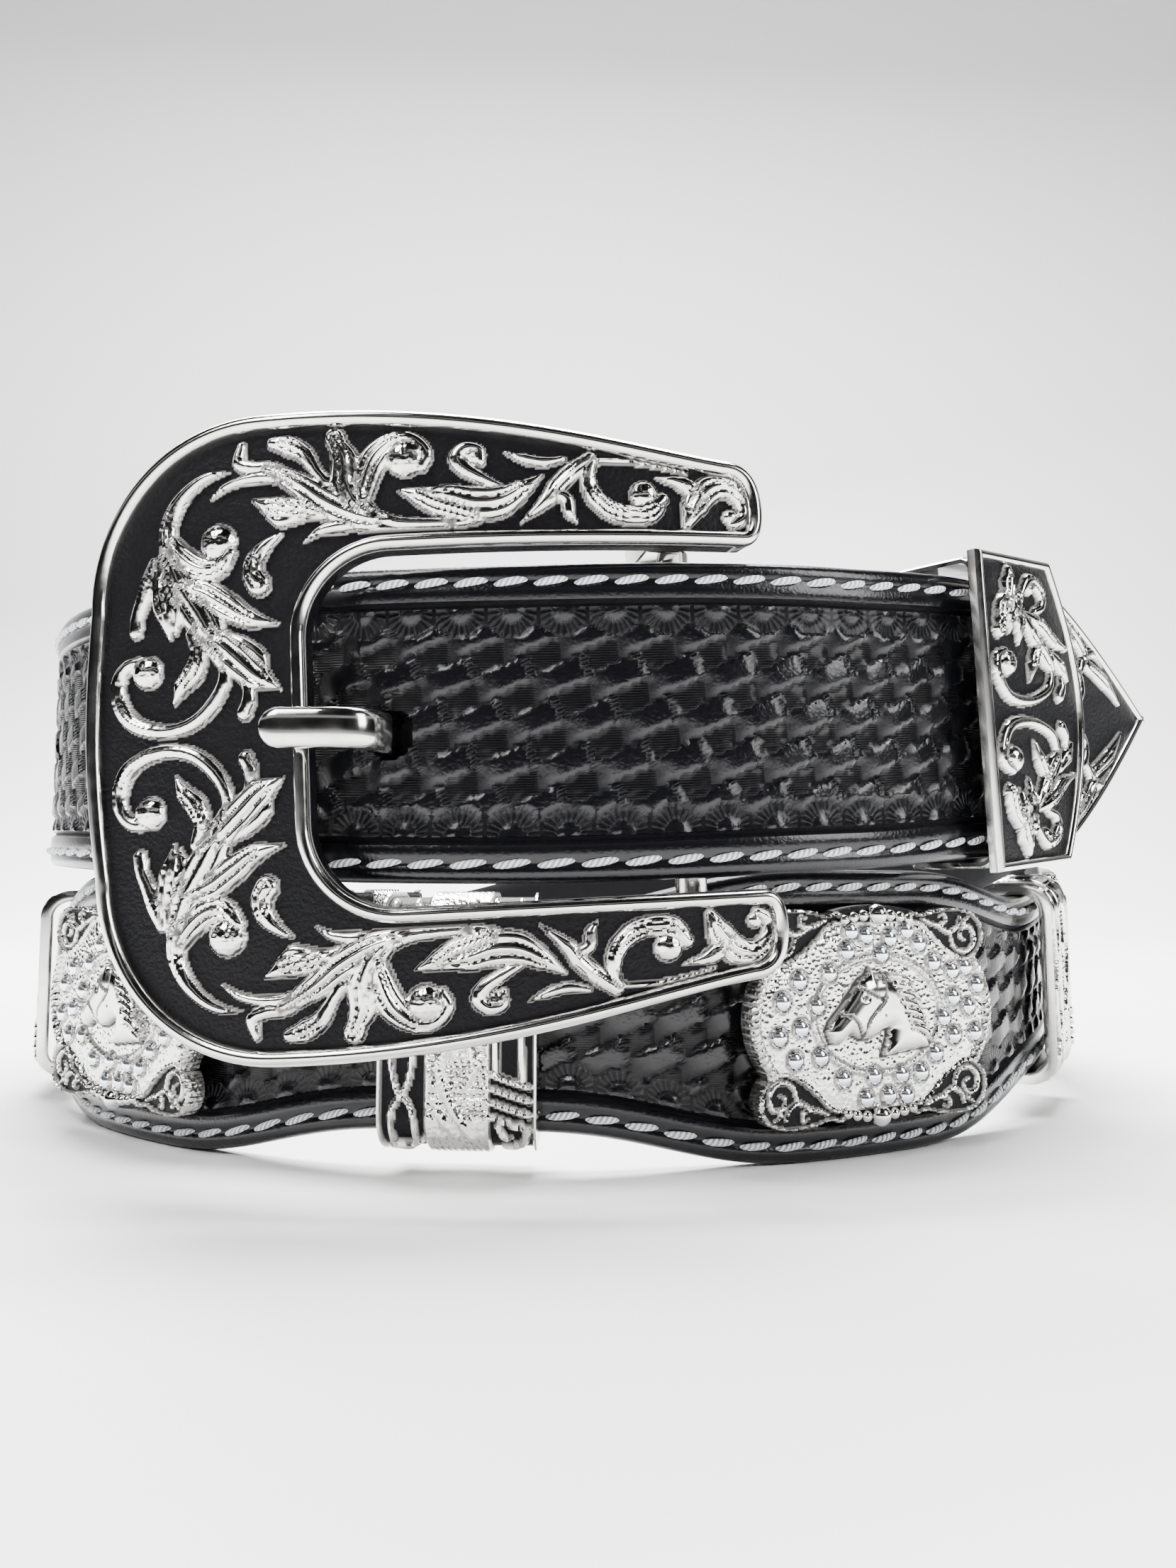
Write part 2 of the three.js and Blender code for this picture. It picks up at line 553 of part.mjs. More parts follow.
function tipShape(start, inset) {
  const shape = new THREE.Shape();
  const further = TIP_REACHES.filter((reach) => reach > start);
  const reaches = [start, ...further, END_LENGTH - inset * 1.5];
  const rise = (reach) => Math.max(tipHalfWidth(reach) - inset, 0);
  const upper = reaches.map((reach) => new THREE.Vector2(reach, rise(reach)));
  const lower = upper.slice(0, -1).reverse().map((point) => new THREE.Vector2(point.x, -point.y));
  upper.at(-1).y = 0;
  return shape.setFromPoints([...upper, ...lower].reverse());
}

function tipCap() {
  const back = -STRAP_THICKNESS - CLEARANCE;
  const ground = 1.3;
  const whole = solid(plate(tipShape(TIP_START, 0), back, ground + 0.5));
  const well = solid(plate(tipShape(TIP_START + 1.2, 1.2), ground, ground + 3));
  const pocket = solid(plate(tipShape(TIP_START - 3, 1), back - 1, CLEARANCE));
  const scrolls = geometryOf(joined(ornament(TIP_SCROLLS, TIP_BALLS))).translate(0, 0, ground);
  return standing(geometryOf(whole.subtract(well).subtract(pocket).add(solid(scrolls))));
}

// The slides: round-cornered loops over the strap's narrow places, dressed with a band and wires
function roundedLoop(halfHeight, front, back, radius) {
  const path = new THREE.Path();
  const [left, right] = [back, front];
  path.moveTo(right, halfHeight - radius);
  path.absarc(right - radius, halfHeight - radius, radius, 0, Math.PI / 2, false);
  path.absarc(left + radius / 2, halfHeight - radius / 2, radius / 2, Math.PI / 2, Math.PI, false);
  path.absarc(left + radius / 2, radius / 2 - halfHeight, radius / 2, Math.PI, 1.5 * Math.PI, false);
  path.absarc(right - radius, radius - halfHeight, radius, 1.5 * Math.PI, 2 * Math.PI, false);
  return path;
}

function slideLoop() {
  const { width, halfHeight, wall, front, back, corner } = SLIDE;
  const outline = new THREE.Shape(roundedLoop(halfHeight, front, back, corner).getPoints(2));
  const inside = roundedLoop(halfHeight - wall, front - wall, back + wall, corner - wall);
  outline.holes.push(new THREE.Path(inside.getPoints(2)));
  const loop = new THREE.ExtrudeGeometry(outline, { depth: width, bevelEnabled: false });
  loop.translate(0, 0, -width / 2).rotateY(-Math.PI / 2);
  const parts = [loop];
  const band = new THREE.BoxGeometry(6.4, 2 * halfHeight - 8, 1).translate(-0.4, 0, front + 0.1);
  parts.push(band);
  for (const x of [-9, -3.9, 3.1, 9]) {
    parts.push(new THREE.BoxGeometry(0.9, 2 * halfHeight - 8, 1).translate(x, 0, front));
  }
  for (let i = 0; i < 4; i += 1) {
    const coil = new THREE.CylinderGeometry(0.8, 0.8, 5, 4).rotateZ(-0.95);
    parts.push(coil.translate(6.1, (i - 1.5) * 2.3 - 1, front));
  }
  for (const side of [-1, 1]) {
    const wire = new THREE.CylinderGeometry(0.6, 0.6, 2 * halfHeight - 9, 4).rotateZ(side * 0.08);
    parts.push(wire.translate(-6.4, 0, front));
  }
  return standing(bent(geometryOf(joined(parts)), SLIDE.bend));
}

// The conchos: an oval plate with four ears, beads above and below, stones and a horse's head
const HORSE_HEAD = [
  [-5.6, -1.6], [-4.9, -2.9], [-3.5, -2.9], [-1.8, -1.5], [-0.4, -1.3], [0.4, -3.2], [0.1, -5.2],
  [5.4, -4.6], [5.2, -1.2], [4, 2], [1.9, 4.1], [0.6, 4.4], [0.2, 5.7], [-0.7, 4.4], [-2.2, 3],
  [-3.8, 0.6],
];

function conchoStones() {
  return Array.from({ length: STONE_COUNT }, (_, i) => {
    const turn = ((i + 0.5) / STONE_COUNT) * 2 * Math.PI;
    const stone = new THREE.CylinderGeometry(0.62, 1.1, 1, 8).rotateX(Math.PI / 2);
    const top = CONCHO.thickness + 0.4;
    return stone.translate(13.2 * Math.cos(turn), 9.4 * Math.sin(turn), top);
  });
}

function conchoPlate() {
  const { halfLength, halfHeight, thickness } = CONCHO;
  const disc = (x, y, z, height) => {
    const round = new THREE.CylinderGeometry(1, 1, height, 18).rotateX(Math.PI / 2);
    return round.scale(x, y, 1).translate(0, 0, z + height / 2);
  };
  const parts = [disc(halfLength, halfHeight, 0, thickness), disc(16, 12, 1, 1)];
  for (const x of [-1, 1]) {
    for (const y of [-1, 1]) {
      const ear = new THREE.CylinderGeometry(3.4, 3.4, thickness + 0.5, 8).rotateX(Math.PI / 2);
      parts.push(ear.translate(x * 15.4, y * 9.9, (thickness + 0.5) / 2));
    }
  }
  for (const side of [-1, 1]) {
    for (const [x, radius] of [[0, 1.5], [-3, 1], [3, 1]]) {
      const y = side * (halfHeight - 0.5 - Math.abs(x) * 0.14);
      parts.push(new THREE.SphereGeometry(radius, 6, 4).translate(x, y, thickness));
    }
  }
  const head = new THREE.Shape(HORSE_HEAD.map(([x, y]) => new THREE.Vector2(x, y)));
  parts.push(plate(head, thickness - 0.5, thickness + 1.1));
  parts.push(...conchoStones());
  return standing(geometryOf(joined(parts)));
}

// The assembly
const belt = new THREE.Group();

function addPiece(name, geometry, finish, matrix) {
  const piece = new THREE.Mesh(geometry, new THREE.MeshStandardMaterial(finish));
  piece.name = name;
  if (matrix) matrix.decompose(piece.position, piece.quaternion, piece.scale);
  belt.add(piece);
}

addPiece('belt_strap', beltStrap(), LEATHER);

const buckleMatrix = new THREE.Matrix4().makeRotationY(-BUCKLE.tilt);
buckleMatrix.setPosition(BUCKLE.x, BUCKLE.y, BUCKLE.z);
addPiece('buckle_frame', buckleFrame(), SILVER, buckleMatrix);
addPiece('buckle_prong', prongGeometry(), SILVER);
const keeperMatrix = matrixOf(movedFrame(endFrame, KEEPER.start, 0));
keeperMatrix.multiply(new THREE.Matrix4().makeTranslation(0, 0, KEEPER_RAISE));
addPiece('keeper_loop', keeperLoop(), SILVER, keeperMatrix);
addPiece('strap_tip', tipCap(), SILVER, matrixOf(endFrame));

for (const [index, steps] of [-4, -2, 0, 2, 4].entries()) {
  const frame = frameAt(steps * TRIM_PITCH);
  addPiece(`slide_${index + 1}`, slideLoop(), SILVER, matrixOf(frame));
}
for (const [index, steps] of [-3, -1, 1, 3].entries()) {
  const frame = movedFrame(frameAt(steps * TRIM_PITCH), 0, -CLEARANCE);
  addPiece(`concho_${index + 1}`, conchoPlate(), SILVER, matrixOf(frame));
}

// The origin is on the surface that the belt stands on, under the middle of its box.
const extent = new THREE.Box3().setFromObject(belt, true);
belt.position.set(
  -(extent.min.x + extent.max.x) / 2,
  -(extent.min.y + extent.max.y) / 2,
  -extent.min.z,
);

export default belt;
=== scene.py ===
# %% [markdown]
# A western belt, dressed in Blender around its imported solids. The belt is black tooled leather with
# polished castings, buckled and wound in two turns on its lower edge. Each step below says what the
# piece is on the real belt, how it could be made, and why this way was chosen.

# %% Load the frame
import math

import bpy
import numpy as np
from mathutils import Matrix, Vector


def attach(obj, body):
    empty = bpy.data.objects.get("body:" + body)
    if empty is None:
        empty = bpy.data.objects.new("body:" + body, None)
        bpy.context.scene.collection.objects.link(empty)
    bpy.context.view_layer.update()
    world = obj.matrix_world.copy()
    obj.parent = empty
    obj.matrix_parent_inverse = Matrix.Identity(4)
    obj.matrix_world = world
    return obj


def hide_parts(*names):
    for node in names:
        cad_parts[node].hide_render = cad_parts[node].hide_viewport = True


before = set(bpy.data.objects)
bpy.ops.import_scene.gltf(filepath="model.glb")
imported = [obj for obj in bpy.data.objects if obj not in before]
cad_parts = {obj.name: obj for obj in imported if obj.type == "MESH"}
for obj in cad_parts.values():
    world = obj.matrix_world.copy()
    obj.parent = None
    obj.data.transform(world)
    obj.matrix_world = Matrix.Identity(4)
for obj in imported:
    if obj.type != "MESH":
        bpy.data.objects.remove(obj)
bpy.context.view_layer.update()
print("nodes:", sorted(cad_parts))

# %% [markdown]
# A belt maker works in millimetres. Pieces could be typed in metres from the start, but small
# numbers are easier to draw and to check, so each piece is shaped in millimetres first and becomes
# metres when it is put in its place. These helpers select one piece, read its points and write them
# back.

# %% Helpers for one piece
MM = 0.001
ORIGIN_SHIFT = np.array([5.0628, -94.9516, 0.0])
SMOOTH_ANGLE = math.radians(38)


def only(obj):
    bpy.ops.object.select_all(action="DESELECT")
    obj.select_set(True)
    bpy.context.view_layer.objects.active = obj


def points_of(obj):
    found = np.zeros(len(obj.data.vertices) * 3)
    obj.data.vertices.foreach_get("co", found)
    return found.reshape(-1, 3)


def set_points(obj, points):
    obj.data.vertices.foreach_set("co", np.asarray(points, np.float32).ravel())
    obj.data.update()


def set_values(obj, name, values):
    attribute = obj.data.attributes.get(name) or obj.data.attributes.new(name, "FLOAT", "POINT")
    attribute.data.foreach_set("value", np.asarray(values, np.float32))


def put_in_place(obj, points):
    """Writes points given in the belt's own millimetres, as metres in the row frame."""
    set_points(obj, (points + ORIGIN_SHIFT) * MM)


def finished(obj, material, slot, *nodes):
    only(obj)
    bpy.ops.object.shade_smooth_by_angle(angle=SMOOTH_ANGLE)
    obj.data.materials.clear()
    obj.data.materials.append(material)
    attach(obj, "root")
    if nodes:
        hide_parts(*nodes)
    obj.data.calc_loop_triangles()
    print(obj.name, len(obj.data.loop_triangles), "triangles")
    return obj


def named(name):
    """The primitive that was just added, with its own name."""
    obj = bpy.context.object
    obj.name = obj.data.name = name
    return obj


def loop_grid(name, rows, columns):
    """A grid with this many rows of points and columns of cells, to be rolled round its columns."""
    bpy.ops.mesh.primitive_grid_add(x_subdivisions=rows - 1, y_subdivisions=columns, size=1)
    return named(name)


def weld(obj, gap, close_ends=False):
    """Merges doubled points, fills open ends when asked, and turns every face outwards."""
    only(obj)
    bpy.ops.object.mode_set(mode="EDIT")
    bpy.ops.mesh.select_all(action="SELECT")
    bpy.ops.mesh.remove_doubles(threshold=gap)
    if close_ends:
        bpy.ops.mesh.select_all(action="DESELECT")
        bpy.ops.mesh.select_non_manifold()
        bpy.ops.mesh.edge_face_add()
        bpy.ops.mesh.select_all(action="SELECT")
    bpy.ops.mesh.normals_make_consistent(inside=False)
    bpy.ops.object.mode_set(mode="OBJECT")


def pick_faces(obj, least_up, both_ways=False):
    """Selects the faces that look up, and those that look down too when both ways are asked."""
    only(obj)
    bpy.ops.object.mode_set(mode="EDIT")
    bpy.ops.mesh.select_mode(type="FACE")
    bpy.ops.mesh.select_all(action="DESELECT")
    bpy.ops.object.mode_set(mode="OBJECT")
    for face in obj.data.polygons:
        up = abs(face.normal.z) if both_ways else face.normal.z
        face.select = up > least_up
    bpy.ops.object.mode_set(mode="EDIT")


def grid_order(obj, rows, columns):
    """For each point of a grid primitive, its row and its column."""
    flat = points_of(obj)
    row = np.rint((flat[:, 0] + 0.5) * (rows - 1)).astype(int)
    column = np.rint((flat[:, 1] + 0.5) * (columns - 1)).astype(int)
    return row, column


# %% [markdown]
# The photograph was taken close up with a phone, a little above the table and tilted up. Its camera
# was worked out from the strap's edges, so the same lens and place give the same picture.

# %% Camera
PHOTO_HEIGHT = 2212
FOCAL_PIXELS = 1661
SENSOR = 36
camera_data = bpy.data.cameras.new("camera")
camera_data.sensor_width = SENSOR
camera_data.lens = FOCAL_PIXELS / PHOTO_HEIGHT * SENSOR
camera_data.clip_start = 0.01
camera = bpy.data.objects.new("camera", camera_data)
bpy.context.scene.collection.objects.link(camera)
camera.location = (ORIGIN_SHIFT + np.array([0, -137.2, 35.8])) * MM
camera.rotation_euler = (math.radians(95), 0, 0)
bpy.context.scene.camera = camera
print("lens", round(camera_data.lens, 2), "mm")

# %% [markdown]
# The belt stands on seamless paper, as in a small product studio. A flat floor with a wall behind it
# would show a line where they meet, so one grid is rolled up behind the belt instead.

# %% Paper sweep


def plain_material(name, color, roughness, metallic=0.0):
    material = bpy.data.materials.new(name)
    material.use_nodes = True
    shader = material.node_tree.nodes["Principled BSDF"]
    shader.inputs["Base Color"].default_value = (*color, 1)
    shader.inputs["Roughness"].default_value = roughness
    shader.inputs["Metallic"].default_value = metallic
    return material


SWEEP_START, SWEEP_RADIUS, SWEEP_WIDTH = 0.5, 0.5, 8
SWEEP_FRONT, SWEEP_LENGTH = -2, 4.4
bpy.ops.mesh.primitive_grid_add(x_subdivisions=2, y_subdivisions=48, size=1)
paper = named("paper_sweep")
spread = points_of(paper)
run = (spread[:, 1] + 0.5) * SWEEP_LENGTH + SWEEP_FRONT
turn = np.clip((run - SWEEP_START) / SWEEP_RADIUS, 0, math.pi / 2)
rise = np.clip(run - SWEEP_START - SWEEP_RADIUS * math.pi / 2, 0, None)
spread[:, 0] *= SWEEP_WIDTH
spread[:, 1] = np.minimum(run, SWEEP_START) + SWEEP_RADIUS * np.sin(turn)
spread[:, 2] = SWEEP_RADIUS * (1 - np.cos(turn)) + rise
set_points(paper, spread)
only(paper)
bpy.ops.object.shade_smooth()
paper.data.materials.append(plain_material("paper", (0.95, 0.95, 0.95), 0.9))
print("paper", SWEEP_WIDTH, "m wide, rolled up", SWEEP_START, "m behind the belt")

# %% [markdown]
# Soft boxes light it: weak ones in front, so that black leather stays black, and strong ones above
# and behind, which draw the bright lines on the castings' edges. Each box is aimed at the buckle.

# %% Soft lights
LIGHT_AIM = Vector((0, -0.03, 0.04))


def soft_light(name, place, size, power):
    data = bpy.data.lights.new(name, "AREA")
    data.shape = "RECTANGLE"
    data.size, data.size_y = size
    data.energy = power
    light = bpy.data.objects.new(name, data)
    bpy.context.scene.collection.objects.link(light)
    light.location = place
    light.rotation_euler = (Vector(place) - LIGHT_AIM).to_track_quat("Z", "Y").to_euler()
    print(name, "light", power, "W")


soft_light("key", (-0.45, -0.65, 0.85), (0.35, 0.6), 10)
soft_light("fill", (0.75, -0.5, 0.45), (0.3, 0.5), 6)
soft_light("top", (0.05, 0.15, 1.1), (0.9, 0.35), 46)
soft_light("back", (-0.15, 0.55, 0.75), (0.8, 0.3), 34)

# %% [markdown]
# Polished metal shows what it mirrors. A room of one grey would make it look like putty, and a
# picture of a room would need a file, so the room is a ramp over height: dark, with one bright band
# at eye height and one overhead. The bands give the castings crisp light and dark edges.

# %% Room
world = bpy.data.worlds.new("room")
bpy.context.scene.world = world
world.use_nodes = True
room = world.node_tree
room_place = room.nodes.new("ShaderNodeTexCoord")
room_split = room.nodes.new("ShaderNodeSeparateXYZ")
room_ramp = room.nodes.new("ShaderNodeValToRGB")
room.links.new(room_place.outputs["Generated"], room_split.inputs[0])
room_height = room.nodes.new("ShaderNodeMapRange")
room_height.inputs["From Min"].default_value = -1
room.links.new(room_split.outputs["Z"], room_height.inputs["Value"])
room.links.new(room_height.outputs["Result"], room_ramp.inputs["Fac"])
for element in list(room_ramp.color_ramp.elements)[1:]:
    room_ramp.color_ramp.elements.remove(element)
ROOM_LEVELS = [(0.0, 0.05), (0.46, 0.02), (0.484, 0.8), (0.508, 0.85), (0.524, 0.01), (0.68, 0.01),
               (0.703, 0.75), (0.732, 0.85), (0.752, 0.01), (1.0, 0.01)]
for position, level in ROOM_LEVELS:
    element = room_ramp.color_ramp.elements.new(position)
    element.color = (level, level, level * 1.03, 1)
room_ramp.color_ramp.elements.remove(room_ramp.color_ramp.elements[0])
room.links.new(room_ramp.outputs["Color"], room.nodes["Background"].inputs["Color"])
room.nodes["Background"].inputs["Strength"].default_value = 0.6
print("room bands:", sum(level > 0.7 for _, level in ROOM_LEVELS) // 2)

# %% [markdown]
# A buckled belt is one long strip wound in two turns. It could be bent by a curve modifier, but the
# pieces must sit where the solids are, so the path is the solids' own: a table of angles, centres,
# radii and heights, with smooth steps between the rows.

# %% The winding
WINDING = np.array([
    (0, -5, 89.5, 84.9, 55.3), (25, -5, 89.5, 84.9, 57), (42, -5, 89.5, 84.9, 58.8),
    (60, -5, 89.5, 84.9, 60), (195, -5, 95, 88, 19.05), (215, -5, 98, 88.5, 19.05),
    (290, -5.5, 108.5, 93.5, 19.05), (350, -5.5, 108.5, 95.5, 19.05),
    (395, -5.5, 108.5, 95.5, 19.05), (425, -5.5, 108.5, 93.2, 22), (575, -5, 98, 95, 58.7),
    (640, -5, 89.5, 89.5, 58.7), (715, -5, 89.5, 89.5, 55.2), (745, -5, 89.5, 89.5, 57),
    (765, -5, 89.5, 89.5, 59.1),
])
FIRST_ANGLE, MIDDLE_ANGLE, STRAIGHT_ANGLE = 12.2, 353.8, 762.0
END_SLOPE = 0.085


def winding_value(column, angle):
    angles, values = WINDING[:, 0], WINDING[:, column]
    rise = np.diff(values) / np.diff(angles)
    before, after = np.append(0, rise), np.append(rise, 0)
    product = before * after
    both = np.where(product > 0, before + after, 1)
    slopes = np.where(product > 0, 2 * product / both, 0)
    i = np.clip(np.searchsorted(angles, angle) - 1, 0, len(angles) - 2)
    span = angles[i + 1] - angles[i]
    t = (angle - angles[i]) / span
    leave, arrive, step = slopes[i] * span, slopes[i + 1] * span, values[i + 1] - values[i]
    square, cube = 3 * step - 2 * leave - arrive, leave + arrive - 2 * step
    return values[i] + t * (leave + t * (square + t * cube))


def winding_point(angle):
    turn, radius = np.radians(angle), winding_value(3, angle)
    x = winding_value(1, angle) + radius * np.sin(turn)
    y = winding_value(2, angle) - radius * np.cos(turn)
    return np.stack([x, y, winding_value(4, angle)], -1)


def unit(vectors):
    return vectors / np.linalg.norm(vectors, axis=-1, keepdims=True)


table_angles = np.append(np.arange(FIRST_ANGLE, STRAIGHT_ANGLE, 1.0), STRAIGHT_ANGLE)
table_steps = np.linalg.norm(np.diff(winding_point(table_angles), axis=0), axis=1)
table_lengths = np.append(0, np.cumsum(table_steps))
MIDDLE_LENGTH = np.interp(MIDDLE_ANGLE, table_angles, table_lengths)
STRAIGHT_LENGTH = table_lengths[-1]
END_DISTANCE = STRAIGHT_LENGTH - MIDDLE_LENGTH
print("path", round(STRAIGHT_LENGTH), "mm, middle at", round(float(MIDDLE_LENGTH)), "mm")

# %% [markdown]
# In a workshop the strap is cut, tooled and stitched flat and worn into its curve later. The same
# order works here: each point is drawn flat, as a distance along, a place across and a depth, and
# these frames carry it onto the path.

# %% Frames along the path


def strap_frames(distance):
    """Origins and the along, inward and up directions at distances from the belt's middle."""
    length = MIDDLE_LENGTH + np.atleast_1d(np.asarray(distance, float))
    angle = np.interp(length, table_lengths, table_angles)
    ahead = winding_point(angle + 0.05) - winding_point(angle - 0.05)
    beyond = np.clip(length - STRAIGHT_LENGTH, 0, None)[:, None]
    level = unit(ahead * [1, 1, 0])
    along = unit(np.where(beyond > 0, level + [0, 0, END_SLOPE], ahead))
    inward = np.stack([-level[:, 1], level[:, 0], 0 * level[:, 0]], -1)
    origin = winding_point(angle) + along * beyond
    return origin, along, inward, np.cross(along, inward)


def distance_at(angle):
    return np.interp(angle, table_angles, table_lengths) - MIDDLE_LENGTH


def placed(points, distance, lift=0.0):
    """Points drawn as along, up and outward at one place of the strap, in the belt's millimetres."""
    origin, along, inward, up = (value[0] for value in strap_frames(distance))
    return origin + points[:, :1] * along + points[:, 1:2] * up - (points[:, 2:3] + lift) * inward


def bent(points, radius):
    """A flat piece curved over a drum of this radius, round the up direction."""
    angle, reach = points[:, 0] / radius, radius + points[:, 2]
    return np.stack([reach * np.sin(angle), points[:, 1], reach * np.cos(angle) - radius], -1)


print("the strap's end stands at", (placed(np.zeros((1, 3)), END_DISTANCE)[0]).round(1), "mm")

# %% [markdown]
# An effect that several finishes use is a shader group: it is built once, and each material plugs it
# in with its own values. These helpers make groups and the small nodes inside them.

# %% Node helpers


def new_group(name, inputs, outputs):
    group = bpy.data.node_groups.new(name, "ShaderNodeTree")
    for label, kind, value in inputs:
        socket = group.interface.new_socket(label, in_out="INPUT", socket_type=kind)
        if value is not None:
            socket.default_value = value
    for label, kind in outputs:
        group.interface.new_socket(label, in_out="OUTPUT", socket_type=kind)
    return group, group.nodes.new("NodeGroupInput"), group.nodes.new("NodeGroupOutput")


def math_node(tree, operation, first, second=None, clamp=False):
    node = tree.nodes.new("ShaderNodeMath")
    node.operation = operation
    node.use_clamp = clamp
    for socket, value in zip(node.inputs, (first, second)):
        if isinstance(value, (int, float)):
            socket.default_value = value
        elif value is not None:
            tree.links.new(value, socket)
    return node.outputs[0]


def noise_node(tree, vector, scale, detail=3.0, roughness=0.55):
    node = tree.nodes.new("ShaderNodeTexNoise")
    node.inputs["Detail"].default_value = detail
    node.inputs["Roughness"].default_value = roughness
    tree.links.new(vector, node.inputs["Vector"])
    if isinstance(scale, (int, float)):
        node.inputs["Scale"].default_value = scale
    else:
        tree.links.new(scale, node.inputs["Scale"])
    return node.outputs["Fac"]


# %% [markdown]
# Leather has fine pores in a net of creases, and it wears in slow patches. Cell borders give the
# net, a fine noise roughens it, and a slow noise marks the worn patches.

# %% Leather grain group
grain_group, grain_in, grain_out = new_group(
    "leather_grain",
    [("Vector", "NodeSocketVector", None), ("Scale", "NodeSocketFloat", 1400.0)],
    [("Height", "NodeSocketFloat"), ("Wear", "NodeSocketFloat")],
)
pores = grain_group.nodes.new("ShaderNodeTexVoronoi")
pores.feature = "DISTANCE_TO_EDGE"
grain_group.links.new(grain_in.outputs["Vector"], pores.inputs["Vector"])
grain_group.links.new(grain_in.outputs["Scale"], pores.inputs["Scale"])
pore_depth = math_node(grain_group, "MULTIPLY", pores.outputs["Distance"], 2.2, clamp=True)
slow = noise_node(grain_group, grain_in.outputs["Vector"], 160.0, 4.0)
fine = noise_node(grain_group, grain_in.outputs["Vector"], 900.0, 2.0)
grain_height = math_node(grain_group, "ADD", pore_depth, math_node(grain_group, "MULTIPLY", fine, 1.2))
grain_group.links.new(grain_height, grain_out.inputs["Height"])
grain_group.links.new(slow, grain_out.inputs["Wear"])
print(grain_group.name, len(grain_group.nodes), "nodes")

# %% [markdown]
# Antiqued castings are dipped in black and polished, so the black stays in the sunk ground. The
# relief knows where its ground is and carries that as a point attribute. The group mixes bright
# metal with black by it, clouds the metal a little, and pebbles the ground.

# %% Tarnish group
tarnish_group, tarnish_in, tarnish_out = new_group(
    "tarnish",
    [("Vector", "NodeSocketVector", None), ("Ground", "NodeSocketFloat", 0.0)],
    [("Color", "NodeSocketColor"), ("Roughness", "NodeSocketFloat"), ("Metallic", "NodeSocketFloat"),
     ("Height", "NodeSocketFloat")],
)
tarnish_cloud = noise_node(tarnish_group, tarnish_in.outputs["Vector"], 420.0, 3.0)
tarnish_ramp = tarnish_group.nodes.new("ShaderNodeMix")
tarnish_ramp.data_type = "RGBA"
tarnish_ramp.inputs["A"].default_value = (0.84, 0.83, 0.81, 1)
tarnish_ramp.inputs["B"].default_value = (0.56, 0.55, 0.53, 1)
tarnish_group.links.new(tarnish_cloud, tarnish_ramp.inputs["Factor"])
ground_mix = tarnish_group.nodes.new("ShaderNodeMix")
ground_mix.data_type = "RGBA"
ground_mix.inputs["B"].default_value = (0.003, 0.003, 0.004, 1)
tarnish_group.links.new(tarnish_in.outputs["Ground"], ground_mix.inputs["Factor"])
tarnish_group.links.new(tarnish_ramp.outputs["Result"], ground_mix.inputs["A"])
tarnish_group.links.new(ground_mix.outputs["Result"], tarnish_out.inputs["Color"])
ground_rough = math_node(tarnish_group, "MULTIPLY", tarnish_in.outputs["Ground"], 0.32)
silver_rough = math_node(tarnish_group, "MULTIPLY", tarnish_cloud, 0.16)
both_rough = math_node(tarnish_group, "ADD", ground_rough, silver_rough)
least_rough = math_node(tarnish_group, "ADD", both_rough, 0.05)
tarnish_group.links.new(least_rough, tarnish_out.inputs["Roughness"])
tarnish_group.links.new(
    math_node(tarnish_group, "SUBTRACT", 1.0, tarnish_in.outputs["Ground"], clamp=True),
    tarnish_out.inputs["Metallic"],
)
pebbles = noise_node(tarnish_group, tarnish_in.outputs["Vector"], 1900.0, 2.0)
tarnish_group.links.new(
    math_node(tarnish_group, "MULTIPLY", pebbles, tarnish_in.outputs["Ground"]),
    tarnish_out.inputs["Height"],
)
print(tarnish_group.name, len(tarnish_group.nodes), "nodes")

# %% [markdown]
# The leather is dyed black and burnished on its raised parts. Its finest lines (the sun rays, the
# ribs and the teeth of the basket stamps) are thinner than its mesh. They could be a picture, but
# picture files aren't used, so they are bump lines that follow the flat strap's own coordinates.

# %% Leather
SUN_PITCH = 6.35
WEAVE_TILT = math.radians(21)
RIB_PITCH, TOOTH_PITCH, SUN_RAYS = 0.62, 0.5, 11.0


def attribute_node(tree, name):
    node = tree.nodes.new("ShaderNodeAttribute")
    node.attribute_name = name
    return node


def grouped(tree, group, **links):
    node = tree.nodes.new("ShaderNodeGroup")
    node.node_tree = group
    for label, source in links.items():
        tree.links.new(source, node.inputs[label])
    return node


def bump_from(tree, height, distance, strength=1.0):
    node = tree.nodes.new("ShaderNodeBump")
    node.inputs["Distance"].default_value = distance
    node.inputs["Strength"].default_value = strength
    tree.links.new(height, node.inputs["Height"])
    return node


